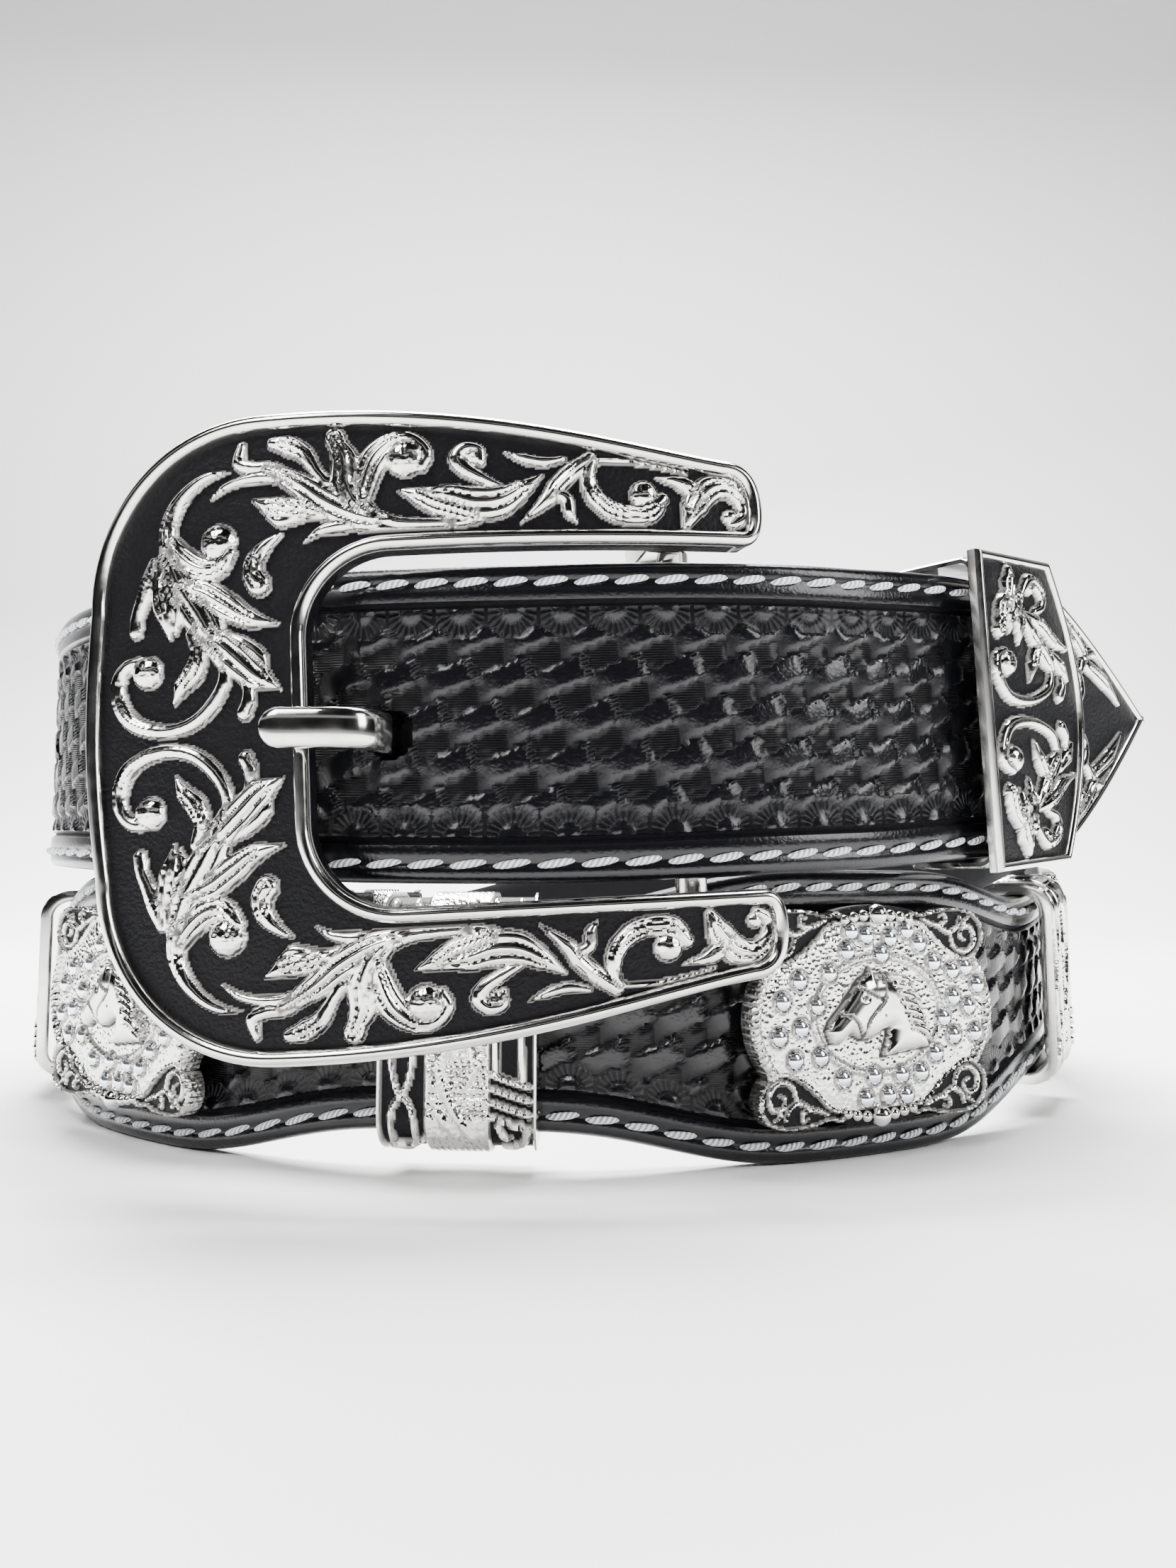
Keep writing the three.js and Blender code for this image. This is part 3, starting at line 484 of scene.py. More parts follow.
def leather_material():
    material = plain_material("black_leather", (0.003, 0.003, 0.004), 0.3)
    tree = material.node_tree
    shader = tree.nodes["Principled BSDF"]
    place = tree.nodes.new("ShaderNodeTexCoord").outputs["Object"]
    grain = grouped(tree, grain_group, Vector=place)
    flat = {name: attribute_node(tree, name).outputs["Fac"] for name in
            ("flat_along", "flat_across", "sun_turn", "sun_mask", "rib_mask", "tooth_mask", "burnish")}
    rays = math_node(tree, "SINE", math_node(tree, "MULTIPLY", flat["sun_turn"], SUN_RAYS))
    rays = math_node(tree, "MULTIPLY", math_node(tree, "ABSOLUTE", rays), flat["sun_mask"])
    rib_turn = math_node(tree, "MULTIPLY", flat["flat_across"], 2 * math.pi / RIB_PITCH)
    rib_wave = math_node(tree, "SINE", rib_turn)
    ribs = math_node(tree, "MULTIPLY", math_node(tree, "ABSOLUTE", rib_wave), flat["rib_mask"])
    slant = math_node(
        tree, "SUBTRACT",
        math_node(tree, "MULTIPLY", flat["flat_across"], math.cos(WEAVE_TILT)),
        math_node(tree, "MULTIPLY", flat["flat_along"], math.sin(WEAVE_TILT)),
    )
    teeth_wave = math_node(tree, "SINE", math_node(tree, "MULTIPLY", slant, math.pi / TOOTH_PITCH))
    teeth = math_node(tree, "MULTIPLY", math_node(tree, "ABSOLUTE", teeth_wave), flat["tooth_mask"])
    lines = math_node(tree, "ADD", math_node(tree, "ADD", rays, ribs), teeth)
    grain_bump = bump_from(tree, grain.outputs["Height"], 0.00005, 0.55)
    line_bump = bump_from(tree, lines, 0.00032, 1.0)
    tree.links.new(grain_bump.outputs[0], line_bump.inputs["Normal"])
    tree.links.new(line_bump.outputs[0], shader.inputs["Normal"])
    rough = math_node(tree, "ADD", math_node(tree, "MULTIPLY", grain.outputs["Wear"], 0.2), 0.46)
    rough = math_node(tree, "SUBTRACT", rough, math_node(tree, "MULTIPLY", flat["burnish"], 0.35))
    tree.links.new(rough, shader.inputs["Roughness"])
    tree.links.new(math_node(tree, "MULTIPLY", flat["burnish"], 0.35), shader.inputs["Coat Weight"])
    shader.inputs["Coat Roughness"].default_value = 0.16
    shader.inputs["Specular IOR Level"].default_value = 0.18
    return material


LEATHER = leather_material()
print(LEATHER.name, len(LEATHER.node_tree.nodes), "nodes")

# %% [markdown]
# The castings' silver comes in two finishes. Cast faces have the blackened ground and a chased,
# hammered look where the relief asks for it. Rims, loops and bars are plain polished metal.

# %% Silver


def silver_material(name, has_ground):
    material = plain_material(name, (0.88, 0.87, 0.85), 0.14, 1.0)
    tree = material.node_tree
    shader = tree.nodes["Principled BSDF"]
    place = tree.nodes.new("ShaderNodeTexCoord").outputs["Object"]
    links = {"Vector": place}
    if has_ground:
        links["Ground"] = attribute_node(tree, "ground").outputs["Fac"]
    group = grouped(tree, tarnish_group, **links)
    tree.links.new(group.outputs["Color"], shader.inputs["Base Color"])
    tree.links.new(group.outputs["Roughness"], shader.inputs["Roughness"])
    if has_ground:
        tree.links.new(group.outputs["Metallic"], shader.inputs["Metallic"])
        shader.inputs["Specular IOR Level"].default_value = 0.12
        bump = bump_from(tree, group.outputs["Height"], 0.0002, 0.8)
        chase = tree.nodes.new("ShaderNodeTexVoronoi")
        chase.inputs["Scale"].default_value = 1500
        tree.links.new(place, chase.inputs["Vector"])
        chased = attribute_node(tree, "chased").outputs["Fac"]
        chase_height = math_node(tree, "MULTIPLY", chase.outputs["Distance"], chased)
        chase_bump = bump_from(tree, chase_height, 0.00022, 0.7)
        tree.links.new(bump.outputs[0], chase_bump.inputs["Normal"])
        tree.links.new(chase_bump.outputs[0], shader.inputs["Normal"])
    return material


CAST_SILVER = silver_material("cast_silver", True)
POLISHED_SILVER = silver_material("polished_silver", False)
print(CAST_SILVER.name, "and", POLISHED_SILVER.name)

# %% [markdown]
# The thread is grey waxed cord of two strands. Each stitch carries a strand number along its length,
# so bumps fall between the strands, and painted shade darkens the colour in the grooves between them.

# %% Thread


def thread_material():
    material = plain_material("thread", (0.55, 0.56, 0.58), 0.6)
    tree = material.node_tree
    shader = tree.nodes["Principled BSDF"]
    strand = attribute_node(tree, "strand").outputs["Fac"]
    strand_turn = math_node(tree, "MULTIPLY", strand, math.pi)
    wave = math_node(tree, "ABSOLUTE", math_node(tree, "SINE", strand_turn))
    bump = bump_from(tree, wave, 0.00025, 1.0)
    tree.links.new(bump.outputs[0], shader.inputs["Normal"])
    # Painted shade: the colour runs from light on each strand's crown to dark in the groove between
    # strands.
    strand_shade_mix = tree.nodes.new("ShaderNodeMix")
    strand_shade_mix.data_type = "RGBA"
    strand_shade_mix.inputs["A"].default_value = (0.3, 0.31, 0.33, 1)
    strand_shade_mix.inputs["B"].default_value = (0.86, 0.87, 0.9, 1)
    tree.links.new(wave, strand_shade_mix.inputs["Factor"])
    tree.links.new(strand_shade_mix.outputs["Result"], shader.inputs["Base Color"])
    return material


THREAD = thread_material()
print(THREAD.name)

# %% [markdown]
# The strap is cut from one hide: plain ends, and a middle whose edges swing in at each slide. The
# outline is a width at each distance, so a cosine between the slides gives the scallops.

# %% The strap's outline
HALF_WIDTH, NARROW_HALF_WIDTH = 19.05, 13.8
THICKNESS, FOLD_THICKNESS = 4.0, 2.4
TRIM_PITCH = 54.5
TIP_START, END_LENGTH, TIP_HALF_WIDTH = 12.0, 46.5, 20.4
STITCH_INSET, GROOVE_INSET, PANEL_INSET = 2.3, 5.0, 5.5


def smoothstep(low, high, value):
    share = np.clip((value - low) / (high - low), 0, 1)
    return share * share * (3 - 2 * share)


def tip_half_width(reach):
    return TIP_HALF_WIDTH * (1 - np.clip((reach - TIP_START) / (END_LENGTH - TIP_START), 0, 1) ** 1.3)


def half_width(distance):
    wave = (1 + np.cos(distance * math.pi / TRIM_PITCH)) / 2
    wave = np.where(np.abs(distance) > 5 * TRIM_PITCH, 0, wave)
    narrow = smoothstep(0.05, 1, wave)
    plain = HALF_WIDTH + (NARROW_HALF_WIDTH - HALF_WIDTH) * narrow
    reach = distance - END_DISTANCE
    return np.minimum(plain, np.where(reach > 0, tip_half_width(reach) - 1.35, plain))


def dome(value):
    return np.sqrt(np.clip(1 - value * value, 0, 1))


print("strap", 2 * HALF_WIDTH, "mm wide, narrowed to", 2 * NARROW_HALF_WIDTH, "mm at each slide")

# %% [markdown]
# Tooling is stamped into damp leather: a groove for the thread, a border groove, two rows of half
# suns and a basket weave of tilted bars with ribbed squares between them. One stamp could be
# modelled and copied, but stamps overlap and are cut by the edge, so the carving is a height at each
# flat place instead, and the highest of the near stamps wins.

# %% Carving
BAR_LENGTH, BAR_WIDTH, ROW_PITCH, BAR_PITCH = 7.7, 3.3, 5.2, 6.9
SQUARE_HALF_LENGTH, SQUARE_HALF_HEIGHT, SQUARE_SHIFT = 2.1, 1.75, 1.65
SUN_REACH, BUTTON_REACH, BUTTON_RADIUS = 3.45, 1.6, 1.75
PANEL_FLOOR = -0.75
SUN_PHASE = distance_at(721.54)


def carving(along, across, half):
    """Height of the carved face and the masks of its fine lines, at flat places of the strap."""
    inset = half - np.abs(across)
    height = -0.95 * (1 - dome(np.clip(1 - inset / 1.3, 0, 1)))
    height -= 0.22 * np.exp(-((inset - STITCH_INSET) / 0.45) ** 2)
    height -= 0.75 * np.exp(-((inset - GROOVE_INSET) / 0.38) ** 2)
    panel = inset > PANEL_INSET
    across_panel = half - PANEL_INSET - np.abs(across)
    sun_along = (along - SUN_PHASE + SUN_PITCH / 2) % SUN_PITCH - SUN_PITCH / 2
    sun_reach = np.hypot(sun_along, across_panel)
    sun_turn = np.arctan2(sun_along, across_panel + 1e-6)
    carved = np.full(along.shape, PANEL_FLOOR)
    rib_mask, tooth_mask = np.zeros(along.shape), np.zeros(along.shape)
    row = np.rint(across / ROW_PITCH)
    for row_step in (-1, 0, 1):
        level = row + row_step
        offset = level * (BAR_PITCH / 2 - 0.15)
        column = np.rint((along - offset) / BAR_PITCH)
        for column_step in (-1, 0, 1):
            middle = (column + column_step) * BAR_PITCH + offset
            x, y = along - middle, across - level * ROW_PITCH
            x_square, y_square = np.abs(x - SQUARE_SHIFT), np.abs(y + ROW_PITCH / 2)
            square = np.maximum(x_square / SQUARE_HALF_LENGTH, y_square / SQUARE_HALF_HEIGHT)
            square_height = -0.42 - 0.25 * square ** 3
            better = (square < 1) & (square_height > carved)
            carved = np.where(better, square_height, carved)
            rib_mask = np.where(better, 1 - smoothstep(0.8, 1, square), rib_mask)
            tooth_mask = np.where(better, 0, tooth_mask)
            bar_x = x * math.cos(WEAVE_TILT) + y * math.sin(WEAVE_TILT)
            bar_y = y * math.cos(WEAVE_TILT) - x * math.sin(WEAVE_TILT)
            in_bar = (np.abs(bar_y) < BAR_WIDTH / 2) & (np.abs(bar_x) < BAR_LENGTH / 2)
            share = bar_x / (BAR_LENGTH / 2)
            bar_height = -0.03 - 0.62 * smoothstep(-0.1, -1, share) - 0.12 * (2 * bar_y / BAR_WIDTH) ** 4
            bar_height -= 0.2 * smoothstep(0.74, 0.8, share)
            better = in_bar & (bar_height > carved)
            carved = np.where(better, bar_height, carved)
            rib_mask = np.where(better, 0, rib_mask)
            tooth_mask = np.where(better, smoothstep(0.74, 0.8, share), tooth_mask)
    near_sun = sun_reach < SUN_REACH
    button = -0.05 - 0.5 * (1 - dome(np.clip(sun_reach / BUTTON_RADIUS, 0, 1)))
    sun_height = np.where(sun_reach < BUTTON_REACH, button, -0.5)
    between = (across_panel < 2.1) & ~near_sun
    carved = np.where(near_sun, sun_height, np.where(between, -0.55, carved))
    has_rays = near_sun & (sun_reach > BUTTON_RADIUS)
    sun_mask = np.where(has_rays, 1 - smoothstep(3.1, 3.4, sun_reach), 0.0)
    outside_sun = ~near_sun & ~between
    values = {
        "sun_turn": sun_turn,
        "sun_mask": sun_mask * panel,
        "rib_mask": rib_mask * outside_sun * panel,
        "tooth_mask": tooth_mask * outside_sun * panel,
    }
    return np.where(panel, carved, height), values


print("weave rows", ROW_PITCH, "mm apart, suns", SUN_PITCH, "mm apart")

# %% [markdown]
# Holes are punched for the prong, one inch apart. The strap's mesh is a row of sections: fine ones
# where the tooling shows from the front, plain ones where it lies behind. It is cut in two stretches,
# because one mesh of this many faces would be too large to keep.

# %% Holes and section places
PRONG_HOLE = (float(distance_at(720 - 12.0)), 53.8 - 55.2, 2.8)
HOLE_PITCH, HOLE_RADIUS, HOLE_DEPTH = 25.4, 2.2, 3.7
punched = [(PRONG_HOLE[0] - HOLE_PITCH * (i + 1), 0.0, HOLE_RADIUS) for i in range(4)]
EDGE_INSETS = np.array([0, 0.25, 0.6, 1.1, 1.7, 2.0, 2.3, 2.6, 3.2, 4.0, 4.5, 4.8, 5.0, 5.25, 5.45])
PANEL_STEPS = 54
FINE_STEP, PLAIN_STEP = 0.5, 0.9


def station_distances():
    start = -MIDDLE_LENGTH
    end = END_DISTANCE + 43.5
    stops = [start, -125, 125, 455, END_DISTANCE - 3, end]
    steps = [PLAIN_STEP, FINE_STEP, PLAIN_STEP, FINE_STEP, PLAIN_STEP]
    runs = [np.linspace(a, b, max(int((b - a) / step), 2), endpoint=False)
            for a, b, step in zip(stops[:-1], stops[1:], steps)]
    return np.append(np.concatenate(runs), end)


stations = station_distances()
cut = int(np.searchsorted(stations, 3 * TRIM_PITCH))
print(len(stations), "sections, cut in two at", round(stations[cut]), "mm")

# %% [markdown]
# The strap itself is one grid, rolled round its section: a tooled face, rounded edges and a flat
# back. Moving the points of a grid keeps neat rows, which a carved solid wouldn't. Each point keeps
# its flat place and its stamp masks for the leather's bump lines, and how high it stands for the
# burnish.

# %% The strap
BACK_PLACES = np.array([1.0, 0.93, 0.8, 0.3, -0.3, -0.8, -0.93, -1.0])
BACK_DEPTHS = np.array([0.72, 0.93, 1.0, 1.0, 1.0, 1.0, 0.93, 0.72])


def strap_piece(name, distances):
    """One stretch of the strap as a grid closed round its section, from its flat layout."""
    half = half_width(distances)
    panel = np.linspace(-1, 1, PANEL_STEPS + 1)
    inner = (half - 5.55)[:, None] * panel
    lower = -half[:, None] + EDGE_INSETS
    upper = half[:, None] - EDGE_INSETS[::-1]
    face = np.concatenate([lower, inner, upper], 1)
    across = np.concatenate([face, half[:, None] * BACK_PLACES], 1)
    along = np.repeat(distances[:, None], across.shape[1], 1)
    half_grid = np.repeat(half[:, None], face.shape[1], 1)
    height, values = carving(along[:, : face.shape[1]], face, half_grid)
    for place, level, radius in [PRONG_HOLE, *punched]:
        reach = np.hypot(along[:, : face.shape[1]] - place, face - level)
        height = np.where(reach < radius, -HOLE_DEPTH, height)
    full_share = smoothstep(0, 25, distances + MIDDLE_LENGTH)
    thick = THICKNESS - (THICKNESS - FOLD_THICKNESS) * (1 - full_share)
    depth = np.concatenate([-height, thick[:, None] * BACK_DEPTHS], 1)
    rows, columns = across.shape
    obj = loop_grid(name, rows, columns)
    row, column = grid_order(obj, rows, columns + 1)
    column %= columns
    origin, _, inward, up = strap_frames(distances)
    points = origin[row] + across[row, column, None] * up[row] + depth[row, column, None] * inward[row]
    put_in_place(obj, points)
    padded_values = {key: np.pad(value, ((0, 0), (0, columns - face.shape[1])))
                     for key, value in values.items()}
    padded_values["burnish"] = smoothstep(0.85, 0.12, depth)
    padded_values["flat_along"] = along
    padded_values["flat_across"] = across
    for key, value in padded_values.items():
        set_values(obj, key, value[row, column])
    weld(obj, 0.00001, close_ends=True)
    return obj


strap_lower = strap_piece("strap_lower_turn", stations[: cut + 1])
strap_upper = strap_piece("strap_upper_turn", stations[cut:])
finished(strap_lower, LEATHER, "leather", "belt_strap")
finished(strap_upper, LEATHER, "leather")

# %% [markdown]
# Two rows of waxed thread run round the strap, five millimetres to a stitch. A stitch is a short
# spindle that dips into the leather at both ends. One is rolled from a small grid, because hundreds
# of copies must stay light, and its copies are laid along the flat strap and joined.

# %% One stitch
STITCH_PITCH, STITCH_LENGTH, STITCH_RADIUS = 5.0, 4.35, 0.47
STITCH_TAPER = np.array([0.35, 0.75, 0.95, 1, 1, 0.95, 0.75, 0.35])
STITCH_SIDES, STITCH_SLANT, STITCH_DIP, STITCH_LIFT = 8, 0.6, 0.55, 0.2


def one_stitch():
    obj = loop_grid("stitch", len(STITCH_TAPER), STITCH_SIDES)
    row, column = grid_order(obj, len(STITCH_TAPER), STITCH_SIDES + 1)
    share = row / (len(STITCH_TAPER) - 1) - 0.5
    turn = column % STITCH_SIDES / STITCH_SIDES * 2 * math.pi
    wide = STITCH_RADIUS * STITCH_TAPER[row]
    across = np.cos(turn) * wide + STITCH_SLANT * share
    out = np.sin(turn) * wide - STITCH_DIP * np.abs(2 * share) ** 3 + STITCH_LIFT
    set_points(obj, np.stack([share * STITCH_LENGTH, across, out], -1))
    set_values(obj, "strand", (share + 0.5) * 6 + turn / math.pi)
    weld(obj, 0.00001, close_ends=True)
    return obj


def shape_of(obj):
    """A small piece's points and faces. The piece itself is removed."""
    shape = points_of(obj), [tuple(face.vertices) for face in obj.data.polygons]
    bpy.data.objects.remove(obj)
    return shape


stitch = one_stitch()
strand = np.zeros(len(stitch.data.vertices))
stitch.data.attributes["strand"].data.foreach_get("value", strand)
stitch_points, stitch_faces = shape_of(stitch)
print("one stitch has", len(stitch_points), "points")

# %% Stitches on the strap


def repeated(name, copies, faces):
    """One mesh of many copies of a small shape, from each copy's points."""
    count = len(copies[0])
    all_faces = [tuple(index * count + i for i in face)
                 for index in range(len(copies)) for face in faces]
    mesh = bpy.data.meshes.new(name)
    mesh.from_pydata(np.concatenate(copies).tolist(), [], all_faces)
    obj = bpy.data.objects.new(name, mesh)
    bpy.context.scene.collection.objects.link(obj)
    return obj


stitch_copies = []
for side in (-1, 1):
    for start in np.arange(-MIDDLE_LENGTH + 30, END_DISTANCE + 10, STITCH_PITCH):
        along = start + stitch_points[:, 0]
        origin, _, inward, up = strap_frames(along)
        level = side * (half_width(along) - STITCH_INSET) + stitch_points[:, 1]
        stitch_copies.append(origin + level[:, None] * up - stitch_points[:, 2:3] * inward)
stitches = repeated("stitches", stitch_copies, stitch_faces)
put_in_place(stitches, points_of(stitches))
set_values(stitches, "strand", np.tile(strand, len(stitch_copies)))
finished(stitches, THREAD, "leather")

# %% [markdown]
# Buckle, keeper and tip are cast with sunk black grounds and raised scrolls. Leaves could be swept
# one by one, but on a casting they melt into each other and into the ground. So each front is a
# height over a flat outline, drawn with smooth lines and distances to them.

# %% Lines and distances


def line_through(points, per_span=7):
    points = np.array(points, float)
    padded = np.vstack([2 * points[0] - points[1], points, 2 * points[-1] - points[-2]])
    t = np.linspace(0, 1, per_span, endpoint=False)[:, None]
    spans = []
    for a, b, c, d in zip(padded, padded[1:], padded[2:], padded[3:]):
        cubic = (3 * b - a - 3 * c + d) * t ** 3
        spans.append(0.5 * (2 * b + (c - a) * t + (2 * a - 5 * b + 4 * c - d) * t ** 2 + cubic))
    return np.vstack([*spans, points[-1:]])


def nearest(x, y, line):
    """Distance to a line, the side of it and the share of its length, for each place."""
    best = np.full(x.shape, np.inf)
    side, share = np.ones(x.shape), np.zeros(x.shape)
    for i, (a, b) in enumerate(zip(line[:-1], line[1:])):
        step = b - a
        t = np.clip(((x - a[0]) * step[0] + (y - a[1]) * step[1]) / (step @ step + 1e-12), 0, 1)
        dx, dy = x - a[0] - t * step[0], y - a[1] - t * step[1]
        distance = np.hypot(dx, dy)
        closer = distance < best
        best = np.where(closer, distance, best)
        side = np.where(closer, np.sign(step[0] * dy - step[1] * dx), side)
        share = np.where(closer, (i + t) / (len(line) - 1), share)
    return best, side, share


def depth_inside(x, y, outline):
    """Distance to a closed outline, positive inside it."""
    ring = np.vstack([outline, outline[:1]])
    best = np.full(x.shape, np.inf)
    inside = np.zeros(x.shape, bool)
    for a, b in zip(ring[:-1], ring[1:]):
        step = b - a
        t = np.clip(((x - a[0]) * step[0] + (y - a[1]) * step[1]) / (step @ step + 1e-12), 0, 1)
        best = np.minimum(best, np.hypot(x - a[0] - t * step[0], y - a[1] - t * step[1]))
        if a[1] != b[1]:
            crossing = a[0] + (y - a[1]) * step[0] / step[1]
            inside ^= ((a[1] > y) != (b[1] > y)) & (x < crossing)
    return np.where(inside, best, -best)


# %% [markdown]
# A leaf is a rounded ridge along a line that swells and ends in a point, with two veins where it is
# wide. A scroll ends in a hatched ball. Where leaves overlap, the higher one wins, and the line
# between them is kept as a dark crease, as the black dip leaves it.

# %% Leaves and balls


def stem_rise(x, y, points, widths, height=1.0):
    """A raised leaf or stem along a smooth line, with two veins where it is wide."""
    rise = np.zeros(x.shape)
    line = line_through(points)
    reach = max(widths) / 2
    near = (x > line[:, 0].min() - reach) & (x < line[:, 0].max() + reach)
    near &= (y > line[:, 1].min() - reach) & (y < line[:, 1].max() + reach)
    if not near.any():
        return rise
    distance, side, share = nearest(x[near], y[near], line)
    radius = np.interp(share, np.linspace(0, 1, len(widths)), widths) / 2
    q = np.clip(distance / radius, 0, 1)
    veins = smoothstep(0.8, 1.3, radius) * (1 - np.sqrt(np.abs(np.cos(1.5 * math.pi * q * side))))
    top = height * (0.5 + 0.75 * np.clip(radius / 1.3, 0, 1))
    rise[near] = top * dome(q) ** 0.75 * (1 - 0.42 * veins)
    return rise


def ball_rise(x, y, ball_x, ball_y, radius):
    """A hatched ball at the end of a scroll."""
    dx, dy = x - ball_x, y - ball_y
    q = np.hypot(dx, dy) / radius
    hatch = np.sin((dx + dy) * 5.2) * np.sin((dx - dy) * 5.2)
    return np.where(q < 1, (0.35 + 0.55 * radius) * dome(q) + 0.07 * hatch * dome(q), 0)


def ornament_rise(x, y, scrolls, balls, height=1.0):
    """Height of overlapping leaves, the dark creases between them, and the hatched balls."""
    rise, second, hatched = np.zeros(x.shape), np.zeros(x.shape), np.zeros(x.shape)
    for points, widths in scrolls:
        leaf = stem_rise(x, y, points, widths, height)
        second = np.maximum(second, np.minimum(rise, leaf))
        rise = np.maximum(rise, leaf)
    for ball in balls:
        round_rise = ball_rise(x, y, *ball)
        hatched = np.where(round_rise > rise, 1, hatched)
        second = np.maximum(second, np.minimum(rise, round_rise))
        rise = np.maximum(rise, round_rise)
    crease = np.where(second > 0.3, 1 - smoothstep(0.03, 0.09, rise - second), 0)
    return rise, crease, hatched


def ground_and_scrolls(depth, ornament, rim_width):
    """A sunk black ground inside the rim and bright scrolls on it, as height and masks."""
    rise, crease, hatched = ornament
    rise = rise * smoothstep(rim_width * 0.6, rim_width * 1.15, depth)
    ground = np.maximum(1 - smoothstep(0.14, 0.4, rise), 0.85 * crease) * (depth > rim_width / 2)
    height = rise - 0.1 * crease - 0.3 * smoothstep(rim_width / 2, 0, depth)
    return height, ground, np.maximum(0.1 * smoothstep(0.5, 0.9, rise), 0.45 * hatched)


# %% [markdown]
# The mesh of such a front starts as a fine grid over its box. Points outside the outline are
# deleted. The last ones inside are drawn onto the outline first, because a grid would leave steps.

# %% A grid cut to its outline
PROBE = 0.02


def cut_grid(name, low, high, step, depth_of):
    """A grid over a box, cut away outside an outline, its last points drawn onto the outline."""
    size = np.subtract(high, low)
    counts = (size / step).astype(int) + 1
    bpy.ops.mesh.primitive_grid_add(x_subdivisions=counts[0], y_subdivisions=counts[1], size=1)
    obj = named(name)
    flat = points_of(obj)
    flat[:, :2] = np.array(low) + (flat[:, :2] + 0.5) * size
    depth = depth_of(flat[:, 0], flat[:, 1])
    edge = (depth > -0.75 * step) & (depth < 0.25 * step)
    x, y = flat[edge, 0], flat[edge, 1]
    for _ in range(2):
        off = depth_of(x, y)
        slope_x = (depth_of(x + PROBE, y) - depth_of(x - PROBE, y)) / (2 * PROBE)
        slope_y = (depth_of(x, y + PROBE) - depth_of(x, y - PROBE)) / (2 * PROBE)
        steep = np.maximum(slope_x ** 2 + slope_y ** 2, 0.3)
        x, y = x - off * slope_x / steep, y - off * slope_y / steep
    flat[edge, 0], flat[edge, 1] = x, y
    set_points(obj, flat)
    pick_points(obj, depth <= -0.75 * step)
    bpy.ops.object.mode_set(mode="EDIT")
    bpy.ops.mesh.delete(type="VERT")
    bpy.ops.object.mode_set(mode="OBJECT")
    return obj


def pick_points(obj, chosen):
    """Selects exactly these points, with the edges and faces between them."""
    only(obj)
    bpy.ops.object.mode_set(mode="EDIT")
    bpy.ops.mesh.select_mode(type="VERT")
    bpy.ops.mesh.select_all(action="DESELECT")
    bpy.ops.object.mode_set(mode="OBJECT")
    obj.data.vertices.foreach_set("select", np.asarray(chosen, bool))


def picked_points(obj):
    flags = np.zeros(len(obj.data.vertices), bool)
    obj.data.vertices.foreach_get("select", flags)
    return flags


# %% [markdown]
# A casting is solid, so the cut front gets walls and a back: its border is extruded back and filled.
# A part that is bent later gets its back cut into strips, because one large face can't bend.

# %% Casting


def close_behind(obj, back, cuts=()):
    """Extrudes the outline back, fills it and cuts the fill so that it can follow a bend."""
    only(obj)
    bpy.ops.object.mode_set(mode="EDIT")
    bpy.ops.mesh.select_mode(type="VERT")
    bpy.ops.mesh.select_all(action="DESELECT")
    bpy.ops.mesh.select_non_manifold()
    bpy.ops.mesh.extrude_region_move()
    bpy.ops.object.mode_set(mode="OBJECT")
    points = points_of(obj)
    points[picked_points(obj), 2] = back
    set_points(obj, points)
    bpy.ops.object.mode_set(mode="EDIT")
    bpy.ops.mesh.edge_face_add()
    bpy.ops.object.mode_set(mode="OBJECT")
    for cut_x in cuts:
        pick_points(obj, points_of(obj)[:, 2] == np.float32(back))
        bpy.ops.object.mode_set(mode="EDIT")
        bpy.ops.mesh.bisect(plane_co=(cut_x, 0, 0), plane_no=(1, 0, 0))
        bpy.ops.object.mode_set(mode="OBJECT")
    only(obj)
    bpy.ops.object.mode_set(mode="EDIT")
    bpy.ops.mesh.select_all(action="SELECT")
    bpy.ops.mesh.normals_make_consistent(inside=False)
    bpy.ops.object.mode_set(mode="OBJECT")


def casting(name, box, step, depth_of, height_of, back, cuts=()):
    """A closed casting in its own plate space: x along, y up, z out."""
    obj = cut_grid(name, *box, step, depth_of)
    close_behind(obj, back, cuts)
    points = points_of(obj)
    front = points[:, 2] > back / 2
    x, y = points[front, 0], points[front, 1]
    height, ground, chased = height_of(x, y, depth_of(x, y))
    points[front, 2] = height
    set_points(obj, points)
    for label, values in (("ground", ground), ("chased", chased)):
        whole = np.zeros(len(points))
        whole[front] = values
        set_values(obj, label, whole)
    return obj


# %% [markdown]
# The rim of a casting is a polished roll that catches a bright line all round. On the grid it would
# show steps, so it is a grid of its own: a half round on an upright wall, led along the outline.

# %% Rim roll
RIM_COLUMNS = 16


